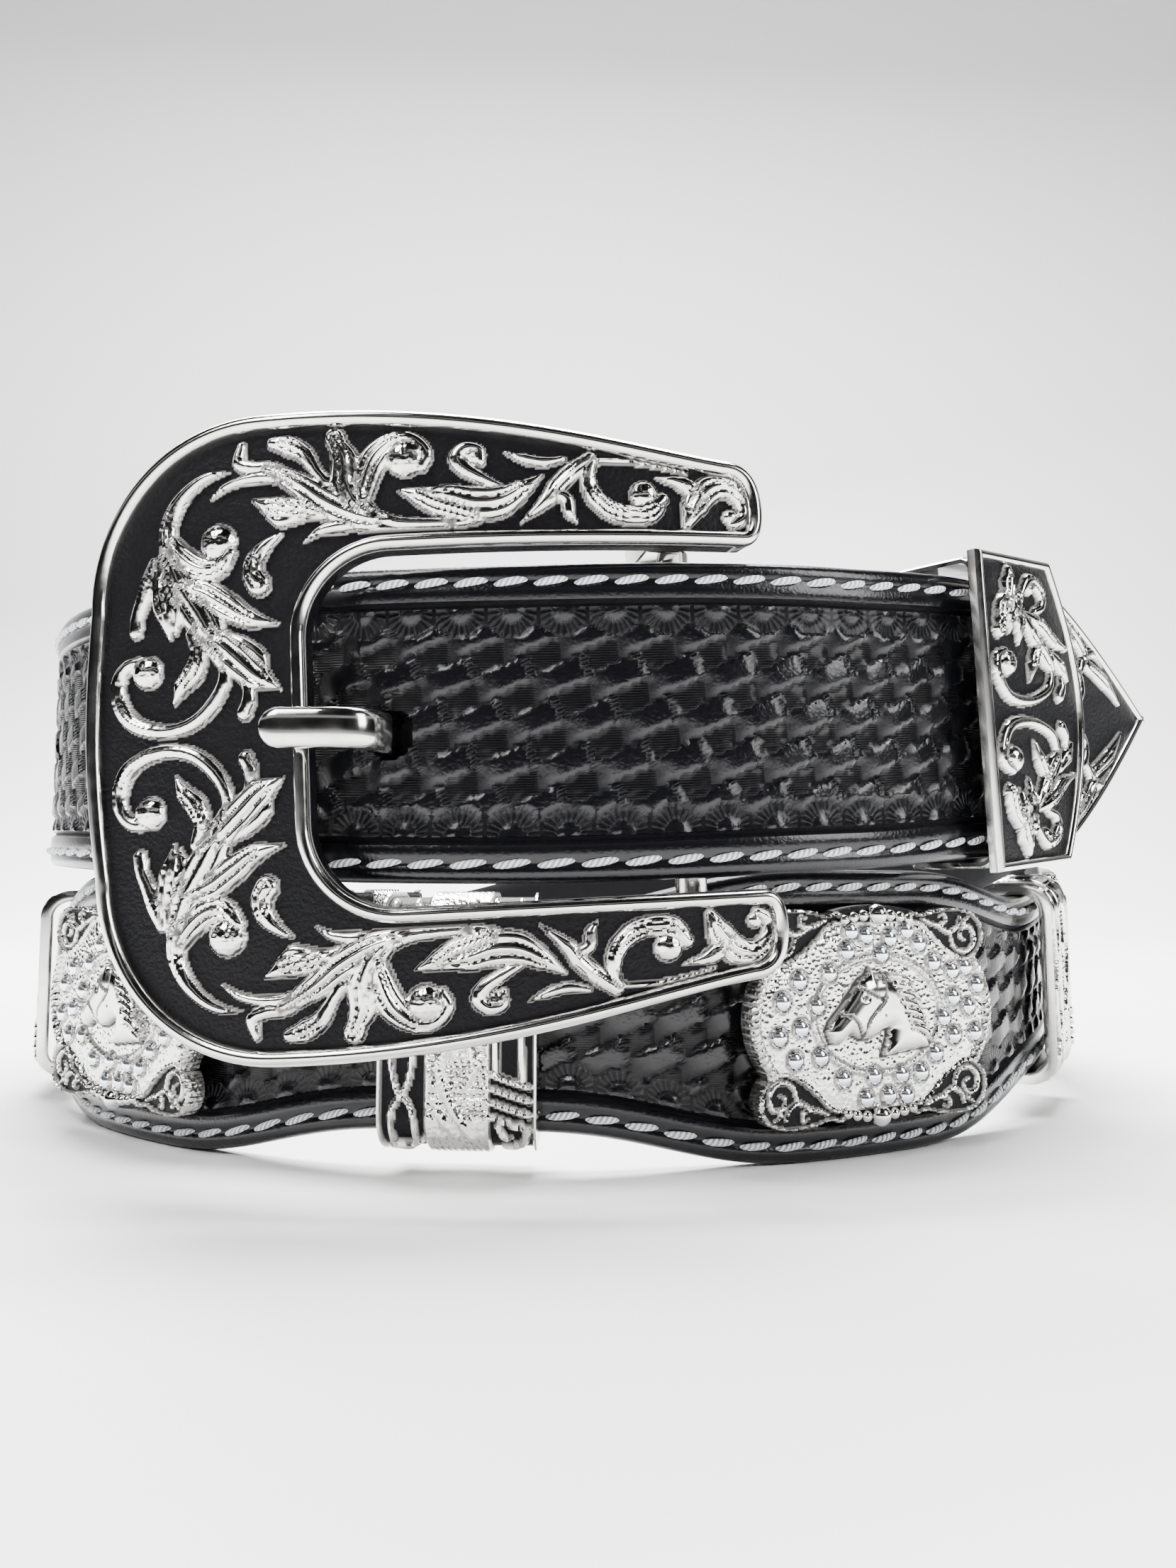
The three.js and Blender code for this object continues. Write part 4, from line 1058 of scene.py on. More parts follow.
def rim_roll(name, outline, width, low, middle, high, step=0.5):
    """A polished rim swept along the inside of an outline: a round top on an upright wall."""
    ring = np.vstack([outline, outline[:1]])
    lengths = np.append(0, np.cumsum(np.linalg.norm(np.diff(ring, axis=0), axis=1)))
    stops = np.linspace(0, lengths[-1], int(lengths[-1] / step), endpoint=False)
    stops = np.unique(np.concatenate([stops, lengths[:-1]]).round(4))
    stops = stops[np.append(np.diff(stops) > 0.08, True)]
    line = np.stack([np.interp(stops, lengths, ring[:, 0]), np.interp(stops, lengths, ring[:, 1])], -1)
    before, after = unit(line - np.roll(line, 1, axis=0)), unit(np.roll(line, -1, axis=0) - line)
    way = unit(before + after)
    side = np.stack([-way[:, 1], way[:, 0]], -1) / np.maximum((before * way).sum(1), 0.5)[:, None]
    area = (line[:, 0] * np.roll(line[:, 1], -1) - line[:, 1] * np.roll(line[:, 0], -1)).sum()
    side *= np.sign(area)
    obj = loop_grid(name, len(line) + 1, RIM_COLUMNS)
    row, column = grid_order(obj, len(line) + 1, RIM_COLUMNS + 1)
    row, column = row % len(line), column % RIM_COLUMNS
    turn = np.linspace(0, math.pi, RIM_COLUMNS - 4)
    insets = np.append(width / 2 * (1 + np.cos(turn)), [0, 0.2, width - 0.2, width])
    levels = np.append(middle + (high - middle) * np.sin(turn), [low + 0.2, low, low, low + 0.2])
    inset, level = insets[column], levels[column]
    set_points(obj, np.column_stack([line[row] + side[row] * inset[:, None], level]))
    weld(obj, 0.0001)
    return obj


# %% [markdown]
# The buckle's scrolls are traditional leafy ones. They were sketched over an enlarged view of
# its upper half in the photograph, about 35 units to the millimetre. Each row is one leaf or stem: its
# points, then its widths from end to end. The lower half mirrors them, as on the real casting.

# %% Buckle scrolls
SKETCH_SCROLLS = [
    ([(655, 1120), (650, 1210), (600, 1300), (520, 1370), (420, 1398), (310, 1385), (220, 1330),
      (178, 1240), (182, 1150), (230, 1090), (300, 1075)], [44, 58, 64, 62, 62, 68, 74, 72, 66, 60, 40]),
    ([(520, 980), (545, 1070), (520, 1150), (470, 1210), (430, 1290)], [60, 76, 96, 76, 10]),
    ([(560, 960), (640, 1030), (720, 1110), (800, 1190), (892, 1250)], [90, 130, 150, 124, 10]),
    ([(640, 985), (740, 1040), (815, 1110), (840, 1215)], [40, 64, 60, 12]),
    ([(700, 1150), (750, 1220), (757, 1290), (738, 1345)], [26, 48, 62, 66]),
    ([(470, 760), (580, 800), (680, 870), (770, 930), (892, 960)], [80, 120, 116, 84, 8]),
    ([(430, 600), (470, 740), (550, 880), (610, 1000), (658, 1140)], [110, 150, 170, 130, 50]),
    ([(360, 640), (330, 720), (300, 800), (270, 880), (262, 945)], [60, 76, 66, 60, 58]),
    ([(390, 640), (385, 740), (400, 850), (420, 990)], [70, 90, 110, 14]),
    ([(450, 760), (468, 860), (445, 970)], [50, 66, 14]),
    ([(450, 650), (420, 560), (424, 480), (462, 390), (530, 315), (605, 272), (690, 258)],
     [96, 88, 76, 66, 54, 42, 10]),
    ([(440, 560), (500, 640), (570, 690), (640, 690), (690, 630)], [70, 110, 112, 90, 60]),
    ([(608, 380), (680, 328), (780, 300), (900, 306), (970, 350)], [8, 34, 42, 54, 60]),
    ([(755, 150), (742, 225), (810, 255), (890, 262), (970, 330)], [40, 62, 62, 54, 60]),
    ([(890, 150), (960, 170), (1020, 210), (1062, 280), (1110, 350)], [56, 92, 76, 54, 50]),
    ([(860, 262), (1000, 350), (1110, 440), (1250, 515), (1400, 548), (1620, 556)],
     [60, 104, 130, 120, 60, 40]),
    ([(795, 400), (900, 442), (1010, 462), (1140, 500)], [16, 100, 90, 40]),
    ([(830, 440), (905, 505), (1000, 490)], [16, 50, 50]),
    ([(915, 560), (850, 605), (802, 665), (790, 730), (812, 778)], [14, 54, 84, 94, 104]),
    ([(1008, 604), (1080, 560), (1180, 545), (1300, 550)], [8, 44, 60, 30]),
    ([(1340, 545), (1240, 465), (1195, 360), (1190, 260), (1165, 190), (1150, 150)],
     [50, 120, 140, 124, 86, 90]),
    ([(1240, 500), (1265, 360), (1310, 250), (1390, 182), (1470, 178), (1522, 240), (1500, 300)],
     [70, 110, 124, 86, 60, 56, 50]),
    ([(1398, 400), (1480, 430), (1560, 470), (1700, 520)], [10, 78, 100, 80]),
    ([(1480, 545), (1620, 556), (1720, 538), (1820, 490)], [30, 40, 44, 14]),
    ([(1500, 425), (1610, 440), (1710, 468), (1810, 460), (1900, 410), (2000, 335)],
     [60, 116, 150, 140, 90, 8]),
    ([(1820, 395), (1730, 350), (1665, 308), (1642, 260), (1680, 222), (1735, 230), (1742, 280)],
     [30, 56, 66, 64, 60, 50, 44]),
    ([(1838, 238), (1920, 268), (2000, 282), (2080, 268)], [8, 46, 48, 30]),
    ([(2190, 262), (2120, 318), (2050, 388), (2000, 458), (1895, 556)], [60, 76, 78, 64, 8]),
    ([(2030, 420), (2088, 450), (2098, 510), (2126, 556)], [50, 56, 52, 8]),
    ([(2200, 270), (2180, 350), (2200, 430), (2262, 492), (2350, 516), (2438, 500), (2490, 440)],
     [50, 66, 78, 88, 86, 92, 60]),
    ([(2210, 276), (2350, 272), (2480, 288), (2600, 314)], [30, 26, 22, 20]),
    ([(2594, 552), (2630, 462), (2698, 384), (2780, 372), (2842, 428), (2852, 500), (2800, 540)],
     [40, 120, 120, 96, 74, 60, 46]),
    ([(2470, 342), (2580, 364), (2660, 420)], [8, 66, 84]),
]
SKETCH_BALLS = [(312, 1130, 74), (640, 575, 84), (1435, 255, 86), (1712, 250, 44), (2412, 420, 64),
                (2790, 505, 38)]
OPENING_HALF_HEIGHT, OPENING_LEFT, BUCKLE_LEFT, ARM_END = 20.7, -12.3, -40.4, 43.1
SKETCH_WIDTH_UNITS, SKETCH_BALL_UNITS = 33.5, 36.0


def from_sketch(points):
    """Places on the sketch in the buckle's millimetres. The sketch narrows a little to the right."""
    points = np.array(points, float)
    right = np.clip(points[:, 0] - 1500, 0, None) / 1300
    x = (points[:, 0] - 20) / 34.9 + BUCKLE_LEFT
    y = (1444 - 42 * right - points[:, 1]) / (37.5 - 0.6 * right)
    return np.stack([x, y], -1)


BUCKLE_SCROLLS = [(from_sketch(points), np.array(widths) / SKETCH_WIDTH_UNITS)
                  for points, widths in SKETCH_SCROLLS]
BUCKLE_BALLS = [(*from_sketch([(x, y)])[0], radius / SKETCH_BALL_UNITS) for x, y, radius in SKETCH_BALLS]
print(len(BUCKLE_SCROLLS), "leaves and", len(BUCKLE_BALLS), "balls in each half")

# %% [markdown]
# The buckle's outline is a horseshoe whose arms taper to square ends. Its corners are arcs, and its
# long sides are drawn curves, so it is built from those two kinds of line.

# %% Buckle outline


def bezier(*controls, steps=14):
    t = np.linspace(0, 1, steps, endpoint=False)[:, None]
    layers = [np.array(control, float) + 0 * t for control in controls]
    while len(layers) > 1:
        layers = [a + (b - a) * t for a, b in zip(layers[:-1], layers[1:])]
    return layers[0]


def arc(x, y, radius, start, end, steps=14):
    turn = np.linspace(start, end, steps)
    return np.stack([x + radius * np.cos(turn), y + radius * np.sin(turn)], -1)


def buckle_outline():
    low, inner_x, corner = OPENING_HALF_HEIGHT, OPENING_LEFT + 10, 10
    upper = np.vstack([
        bezier((ARM_END - 3, low), (ARM_END, low), (ARM_END, 25)),
        bezier((ARM_END, 25), (ARM_END, 31.2), (ARM_END - 5, 31.3)),
        bezier((ARM_END - 5, 31.3), (25, 33), (8, 38.2), (-17.3, 38), steps=30),
        arc(-17.3, 16, 22, math.pi / 2, math.pi, 24),
        bezier((BUCKLE_LEFT + 1.1, 16), (BUCKLE_LEFT, 7), (BUCKLE_LEFT, 0)),
    ])
    opening = arc(inner_x, low - corner, corner, math.pi, math.pi / 2, 20)
    lower = upper[::-1] * [1, -1]
    return np.vstack([upper, [(BUCKLE_LEFT, 0)], lower, opening[::-1] * [1, -1], opening])


BUCKLE_OUTLINE = buckle_outline()
print("buckle", np.ptp(BUCKLE_OUTLINE[:, 0]).round(1), "by", np.ptp(BUCKLE_OUTLINE[:, 1]).round(1), "mm")

# %% [markdown]
# The buckle is one heavy casting, curved a little over the wearer's front and leaning by a few
# degrees. It is made flat, then bent over a drum of 140 mm and placed. The lower wall inside its
# opening is coloured black as painted shade, for the shade that falls inside the opening.

# %% Buckle
BUCKLE_PLACE, BUCKLE_TILT, BUCKLE_BEND = np.array([-20, -2.5, 54.3]), 0.05, 140
BUCKLE_BACK, BUCKLE_RIM, RIM_TUCK, BUCKLE_STEP = -2.2, 1.9, 0.35, 0.235


def buckle_depth(x, y):
    return depth_inside(x, y, BUCKLE_OUTLINE) - RIM_TUCK


def buckle_height(x, y, depth):
    ornament = ornament_rise(x, np.abs(y), BUCKLE_SCROLLS, BUCKLE_BALLS, 1.15)
    return ground_and_scrolls(depth, ornament, BUCKLE_RIM)


def on_buckle(points):
    x, y, z = bent(points, BUCKLE_BEND).T
    cos, sin = math.cos(BUCKLE_TILT), math.sin(BUCKLE_TILT)
    return BUCKLE_PLACE + np.stack([x * cos - y * sin, -z, x * sin + y * cos], -1)


buckle = casting("buckle", ((-41, -38.6), (43.6, 38.6)), BUCKLE_STEP, buckle_depth, buckle_height,
                 BUCKLE_BACK, cuts=range(-36, 42, 4))
put_in_place(buckle, on_buckle(points_of(buckle)))
finished(buckle, CAST_SILVER, "silver", "buckle_frame")
buckle_rim = rim_roll("buckle_rim", BUCKLE_OUTLINE, BUCKLE_RIM, BUCKLE_BACK - 0.1, 0.3, 1.45)
x, y, z = points_of(buckle_rim).T
painted_shade_in_opening = (x > OPENING_LEFT - 0.1) & (np.abs(y) < OPENING_HALF_HEIGHT + 0.1) & (x < ARM_END - 4)
# The lower wall inside the opening takes the black ground colour as painted shade.
set_values(buckle_rim, "ground", painted_shade_in_opening & (z < 0.35))
put_in_place(buckle_rim, on_buckle(points_of(buckle_rim)))
finished(buckle_rim, CAST_SILVER, "silver")

# %% [markdown]
# Behind the buckle a heel bar on two posts holds the strap's fold. Both are hidden from the front and
# plain: posts are boxes with rounded edges, and the bar is a rod with rounded ends.

# %% Heel bar and posts
HEEL_RADIUS, HEEL_GAP, HEEL_REACH = 2, 0.3, 2
POST_HALF_LENGTH, POST_NEAR, POST_FAR, POST_FRONT, POST_EDGE = 2.4, 0.7, 4.2, -5.0, 0.5
heel_origin, _, heel_inward, _ = (value[0] for value in strap_frames(-MIDDLE_LENGTH))
heel = heel_origin + heel_inward * (FOLD_THICKNESS + HEEL_GAP + HEEL_RADIUS)
heel_x, heel_z = heel[0] - BUCKLE_PLACE[0], BUCKLE_PLACE[1] - heel[1]


def rounded_box(name, low, high, bevel):
    """A cube primitive scaled between two corners, with its edges bevelled."""
    bpy.ops.mesh.primitive_cube_add(size=1)
    obj = named(name)
    points = points_of(obj) + 0.5
    set_points(obj, np.array(low) + points * np.subtract(high, low))
    bpy.ops.object.mode_set(mode="EDIT")
    bpy.ops.mesh.select_all(action="SELECT")
    bpy.ops.mesh.bevel(offset=bevel, segments=3, affect="EDGES")
    bpy.ops.object.mode_set(mode="OBJECT")
    return obj


for side, label in ((1, "upper"), (-1, "lower")):
    ends = sorted(side * (OPENING_HALF_HEIGHT + reach) for reach in (POST_NEAR, POST_FAR))
    post_low = (heel_x - POST_HALF_LENGTH, ends[0], heel_z - HEEL_RADIUS)
    post_high = (heel_x + POST_HALF_LENGTH, ends[1], POST_FRONT)
    post = rounded_box("heel_post_" + label, post_low, post_high, POST_EDGE)
    put_in_place(post, on_buckle(points_of(post)))
    finished(post, POLISHED_SILVER, "silver")
heel_length = 2 * (OPENING_HALF_HEIGHT + HEEL_REACH)
bpy.ops.mesh.primitive_cylinder_add(vertices=32, radius=HEEL_RADIUS, depth=heel_length)
heel_bar = named("heel_bar")
pick_faces(heel_bar, 0.9, both_ways=True)
bpy.ops.mesh.bevel(offset=0.45, segments=3, affect="EDGES")
bpy.ops.mesh.select_mode(type="VERT")
bpy.ops.object.mode_set(mode="OBJECT")
lean = math.sin(BUCKLE_TILT)
bar_x, bar_y, bar_z = points_of(heel_bar).T
bar_points = np.stack([bar_x - bar_z * lean, bar_y, bar_z], -1)
put_in_place(heel_bar, bar_points + [heel[0], heel[1], BUCKLE_PLACE[2] + heel_x * lean])
finished(heel_bar, POLISHED_SILVER, "silver")

# %% [markdown]
# The prong is a plain rounded bar, bent up from its ring through the strap's hole and over the
# buckle's inner edge. A curve with a bevel could draw it, but its tip is rounded and its section is a
# flat oval, so a grid is rolled into that section and led along its side line.

# %% Prong
PRONG_LINE = [(-19, 8.5), (-21.8, 7.6), (-23, 5.4), (-23.5, 2.4), (-24.3, -1.3), (-26.4, -4.2),
              (-30.3, -5.1), (-37.3, -4.9)]
PRONG_HEIGHT, PRONG_HALF_WIDTH, PRONG_HALF_THICKNESS, PRONG_TIP = 53.8, 2.4, 1.2, -37.3
prong_start = [(heel[0], heel[1] - 3.3), (4, 7.4), (-6, 7.4), (-14, 8)]
side_line = line_through(prong_start + PRONG_LINE, 12)
side_line = np.vstack([side_line[:-12], np.linspace(side_line[-13], side_line[-1], 40)[1:]])
ahead = unit(np.gradient(side_line, axis=0))
prong_rows, prong_columns = len(side_line), 28
prong = loop_grid("prong", prong_rows, prong_columns)
row, column = grid_order(prong, prong_rows, prong_columns + 1)
turn = (column % prong_columns) / prong_columns * 2 * math.pi
reach = np.clip((side_line[:, 0] - PRONG_TIP) / PRONG_HALF_WIDTH, 0, 1)
rounding = np.where(side_line[:, 1] < 0, dome(1 - reach), 1)[row]
oval_out = np.sign(np.cos(turn)) * np.abs(np.cos(turn)) ** 0.75
oval_wide = np.sign(np.sin(turn)) * np.abs(np.sin(turn)) ** 0.75
thick = PRONG_HALF_THICKNESS * oval_out * np.sqrt(rounding)
wide = PRONG_HALF_WIDTH * oval_wide * rounding
side_way = np.stack([-ahead[:, 1], ahead[:, 0]], -1)
flat = side_line[row] - thick[:, None] * side_way[row]
put_in_place(prong, np.column_stack([flat, PRONG_HEIGHT + wide]))
weld(prong, 0.00001, close_ends=True)
finished(prong, POLISHED_SILVER, "silver", "buckle_prong")

# %% [markdown]
# The prong turns on the heel bar by a wide, flattened ring: a torus stretched along the bar.

# %% The prong's ring
RING_RADIUS, RING_THICKNESS, RING_STRETCH = 3.3, 1.1, 1.9
bpy.ops.mesh.primitive_torus_add(
    major_radius=RING_RADIUS, minor_radius=RING_THICKNESS, major_segments=40, minor_segments=14
)
ring = named("prong_ring")
put_in_place(ring, points_of(ring) * [1, 1, RING_STRETCH] + [heel[0], heel[1], PRONG_HEIGHT])
finished(ring, POLISHED_SILVER, "silver")

# %% [markdown]
# The keeper is a cast loop round both layers. Its shield front carries the buckle's scroll once
# more in a smaller size. It is drawn in its own millimetres and mirrored about its middle.

# %% Keeper drawing
KEEPER_SCROLLS = [
    ([(18.3, 6), (16.9, 3.1), (11.8, 1.5), (6.2, 1.9), (3.6, 4.3), (3.3, 6.9), (5.7, 8.1)],
     [1.4, 1.7, 1.6, 1.9, 2.1, 1.9, 1.2]),
    ([(8.2, 19.8), (7.8, 17.2), (7, 14.6)], [1, 3.6, 2.8]),
    ([(7.4, 15.8), (5.4, 13.8), (4.5, 10.9)], [2, 3, 2.6]),
    ([(7.8, 15.4), (7.8, 12.8), (7.1, 10.4)], [2, 2.6, 0.4]),
    ([(9.7, 15.6), (10, 11.9), (9.5, 9)], [3, 2.8, 0.4]),
    ([(10.7, 13.6), (15.9, 12.2), (19.2, 10.2), (23.2, 9)], [1.2, 2.4, 2.2, 0.7]),
    ([(10.6, 13.8), (13.8, 10.2), (17, 7.4), (18.6, 5.6)], [1, 2.8, 3.2, 1.4]),
    ([(14.7, 9.4), (13.1, 6.7), (11.9, 4)], [2.2, 2.6, 0.4]),
    ([(18.6, 8), (21, 6.3), (23, 4.4)], [1.6, 2.6, 0.5]),
    ([(20.9, 5), (21, 3.4), (20.1, 2.2)], [0.8, 1.8, 2]),
    ([(10.6, 15.4), (13.4, 18.2), (16.4, 17), (16.6, 14.8), (14.6, 13.9)], [0.8, 2, 2.4, 1.8, 1.2]),
]
KEEPER_BALLS = [(6.3, 6.5, 1.9), (13.6, 17.2, 1.2)]
KEEPER_OUTLINE = np.vstack([
    [(0, -21.3)],
    bezier((19.5, -21.3), (26.8, -8.95), (26.8, 0)),
    bezier((26.8, 0), (26.8, 8.95), (19.5, 21.3)),
    [(19.5, 21.3), (0, 21.3)],
])
print("keeper front", np.ptp(KEEPER_OUTLINE, axis=0).round(1), "mm")

# %% [markdown]
# The front is made as the buckle's is, and stands at the belt's end, just before the tip.

# %% Keeper front
KEEPER_START, KEEPER_RAISE, KEEPER_FLOOR = -7.3, 0.5, 3.6
KEEPER_RIM, KEEPER_BACK, SMALL_STEP = 1.25, -1.0, 0.24


def keeper_depth(x, y):
    return depth_inside(x, y, KEEPER_OUTLINE) - RIM_TUCK


def keeper_height(x, y, depth):
    ornament = ornament_rise(x, np.abs(y), KEEPER_SCROLLS, KEEPER_BALLS)
    return ground_and_scrolls(depth, ornament, KEEPER_RIM)


def on_belt_end(points, shift=(0, 0, 0)):
    return placed(points + shift, END_DISTANCE + 1e-6)


keeper = casting("keeper_front", ((-0.3, -21.7), (27.2, 21.7)), SMALL_STEP, keeper_depth,
                 keeper_height, KEEPER_BACK)
KEEPER_SHIFT = np.array([KEEPER_START, KEEPER_RAISE, KEEPER_FLOOR])
put_in_place(keeper, on_belt_end(points_of(keeper), KEEPER_SHIFT))
finished(keeper, CAST_SILVER, "silver", "keeper_loop")
keeper_rim = rim_roll("keeper_rim", KEEPER_OUTLINE, KEEPER_RIM, -1.05, 0.2, 0.95)
put_in_place(keeper_rim, on_belt_end(points_of(keeper_rim), KEEPER_SHIFT))
finished(keeper_rim, POLISHED_SILVER, "silver")

# %% [markdown]
# Keeper and slides are loops round the strap: a rounded rectangle with a larger radius in front. The
# outer face of a loop can carry relief, and the inner face is plain. It could be a bent plate with a
# thickness, but a rolled grid closes on itself without a seam.

# %% Loop helpers


def loop_path(half_height, front, back, radius, step):
    """Places round a rounded loop from the middle of its back, as out, up and both ways outward."""
    small = radius / 2
    half = [
        np.stack([np.full(8, back), np.linspace(0, half_height - small, 8, endpoint=False)], -1),
        arc(back + small, half_height - small, small, math.pi, math.pi / 2, 8),
        np.linspace((back + small, half_height), (front - radius, half_height), 8)[1:-1],
        arc(front - radius, half_height - radius, radius, math.pi / 2, 0, 14),
        np.linspace((front, half_height - radius), (front, 0), int((half_height - radius) / step))[1:],
    ]
    upper = np.vstack(half)
    path = np.vstack([upper, upper[-2:0:-1] * [1, -1]])
    before, after = np.roll(path, 1, axis=0), np.roll(path, -1, axis=0)
    way = unit(after - before)
    return path, np.stack([-way[:, 1], way[:, 0]], -1)


def loop_piece(name, width, wall, path, outward, relief_of, step):
    """A closed loop of a given width: outer face with relief, plain inner face."""
    middle = len(path) // 2
    lengths = np.linalg.norm(np.diff(path, axis=0), axis=1)
    length = np.append(0, np.cumsum(lengths))
    around = length[middle] - length
    outer = np.linspace(-1, 1, int(width / step)) * (width / 2)
    inner = np.linspace(1, -1, 6) * (width / 2 - 0.15)
    across = np.concatenate([outer, inner])
    rows, columns = len(path) + 1, len(across)
    obj = loop_grid(name, rows, columns)
    row, column = grid_order(obj, rows, columns + 1)
    row, column = row % len(path), column % columns
    x = across[column]
    is_outer = column < len(outer)
    height, ground, chased = relief_of(x, around[row])
    lift = np.where(is_outer, height, -wall)
    section = path[row] + outward[row] * lift[:, None]
    set_points(obj, np.column_stack([x, section[:, 1], section[:, 0]]))
    set_values(obj, "ground", np.where(is_outer, ground, 0))
    set_values(obj, "chased", np.where(is_outer, chased, 0))
    weld(obj, 0.0001)
    return obj


# %% [markdown]
# The keeper's loop is a plain bright band behind its front.

# %% Keeper band
BAND_WIDTH, BAND_WALL, BAND_MIDDLE = 12, 0.9, 7


def plain_band(x, around):
    """No relief, only a softened edge on both sides."""
    edge = 0.35 * (1 - dome(np.clip(np.abs(x) - 5.6, 0, 0.4) / 0.4))
    return -edge, np.zeros(x.shape), np.zeros(x.shape)


band_path, band_outward = loop_path(20.9, 3.1, -10.1, 2.4, 1.5)
band = loop_piece("keeper_band", BAND_WIDTH, BAND_WALL, band_path, band_outward, plain_band, 0.5)
put_in_place(band, on_belt_end(points_of(band), (KEEPER_START + BAND_MIDDLE, KEEPER_RAISE, 0)))
finished(band, POLISHED_SILVER, "silver")

# %% [markdown]
# The tip is a pointed cap over the strap's end, with two scrolls and a leaf border on each side. It is
# made as the buckle's front is, on the outline that the strap's own end follows.

# %% Tip
TIP_SCROLLS = [
    ([(17, 1.8), (21, 1.5), (24.5, 3.6), (24, 6.6), (21, 7.4)], [1, 1.8, 2, 2, 1.6]),
    ([(24.5, 6.5), (26, 10), (22, 13.5), (16, 16.4)], [1.4, 2.8, 3, 0.6]),
    ([(27.5, 8), (32.5, 5.8), (37.5, 2.2)], [2.2, 2.6, 0.5]),
    ([(26.5, 9.6), (30, 10.2), (34, 7.6)], [1.8, 2.2, 0.4]),
    ([(17.5, 6), (19, 10), (16, 12.9)], [1, 2.2, 1]),
    ([(22.5, 11.8), (20.4, 14.6), (15.2, 18)], [1.8, 2.2, 0.4]),
]
TIP_BALLS = [(21, 6.2, 1.8)]
TIP_FLOOR, TIP_BACK, TIP_RIM = 1.3, -4.3, 1.2
tip_reaches = np.concatenate([np.linspace(TIP_START, 42, 30), np.linspace(42.3, END_LENGTH, 16)])
tip_upper = np.stack([tip_reaches, tip_half_width(tip_reaches)], -1)
TIP_OUTLINE = np.vstack([tip_upper, tip_upper[-2::-1] * [1, -1]])


def tip_depth(x, y):
    return depth_inside(x, y, TIP_OUTLINE) - RIM_TUCK


def tip_height(x, y, depth):
    ornament = ornament_rise(x, np.abs(y), TIP_SCROLLS, TIP_BALLS, 0.9)
    height, ground, chased = ground_and_scrolls(depth, ornament, TIP_RIM)
    return height + TIP_FLOOR, ground, chased


tip = casting("tip_cap", ((11.6, -20.8), (46.9, 20.8)), SMALL_STEP, tip_depth, tip_height, TIP_BACK)
put_in_place(tip, on_belt_end(points_of(tip)))
finished(tip, CAST_SILVER, "silver", "strap_tip")
tip_rim = rim_roll("tip_rim", TIP_OUTLINE, TIP_RIM, TIP_BACK - 0.05, TIP_FLOOR, TIP_FLOOR + 0.65)
put_in_place(tip_rim, on_belt_end(points_of(tip_rim)))
finished(tip_rim, POLISHED_SILVER, "silver")

# %% [markdown]
# The slides are loops over the strap's narrow places, dressed like fence wire: a bright stippled
# band, a pair of twisted wires on its left and a barbed coil on its right, over black fields. Each
# wire is drawn as a line on the unrolled loop, as x along the strap and y up its front.

# %% Slide drawing
WIRES = [
    ([(-8, 15), (-7.9, 9), (-7, 5), (-5.6, 1), (-5.2, -3.5), (-5.9, -7.6), (-7.4, -9.9), (-7.9, -11.5),
      (-7.9, -14.5)], [0.85, 0.85]),
    ([(-5.1, 15), (-5.2, 9), (-6, 5), (-7.6, 1), (-8, -3.5), (-7.2, -8.1), (-5.9, -9.5), (-5.2, -11.2),
      (-4.9, -14.1)], [0.85, 0.85]),
    ([(-8, -15.4), (-6, -15.2), (-3.9, -14.1)], [1.1, 1.5, 0.6]),
    ([(4.7, 15), (4.7, 5), (4.8, -6.2)], [1, 1]),
    ([(7.7, 15), (7.6, 5), (7.9, -6.8)], [1, 1]),
    ([(5.1, -12.3), (5.6, -13.4), (6.6, -14)], [1, 1, 0.6]),
    ([(8.4, -12.6), (8.2, -14.2), (7.2, -15.1), (5.6, -15.4)], [1, 1, 0.6]),
    ([(-2.4, 14), (0.8, 10), (2.2, 5), (0.6, 0), (-1.8, -5), (-0.4, -10), (2.2, -14)],
     [1, 1.5, 1.6, 1.5, 1]),
    ([(-1.4, 9), (-2.2, 5.6), (-0.6, 3)], [0.5, 1.5, 0.5]),
    ([(-1.9, 1), (-0.6, -1.6), (-0.2, -4.4)], [0.5, 1.5, 0.5]),
    ([(1.5, -1.6), (2.4, -5), (1, -8)], [0.5, 1.3, 0.5]),
    ([(-2, -8), (-1.8, -11), (0.2, -13.4)], [0.5, 1.4, 0.5]),
]
COIL_TOP, COIL_PITCH, COIL_WIDTH, COIL_TURNS = -6.9, 1.66, 1.05, 4
BAND_CENTRE, BAND_HALF_WIDTH = 0.2, 3.6
DOT_ROW, DOT_PITCH, DOT_RADIUS = 0.66, 0.76, 0.36
BRIGHT_LINES, BRIGHT_LINE_HALF_WIDTH = (-9.45, -3.5, 3.9, 9.45), 0.28
print(len(WIRES), "wires and", COIL_TURNS, "turns of the coil")

# %% [markdown]
# The relief takes the highest of wires, coil, stippled band and bright lines at each place. What is
# low stays black.

# %% Slide relief


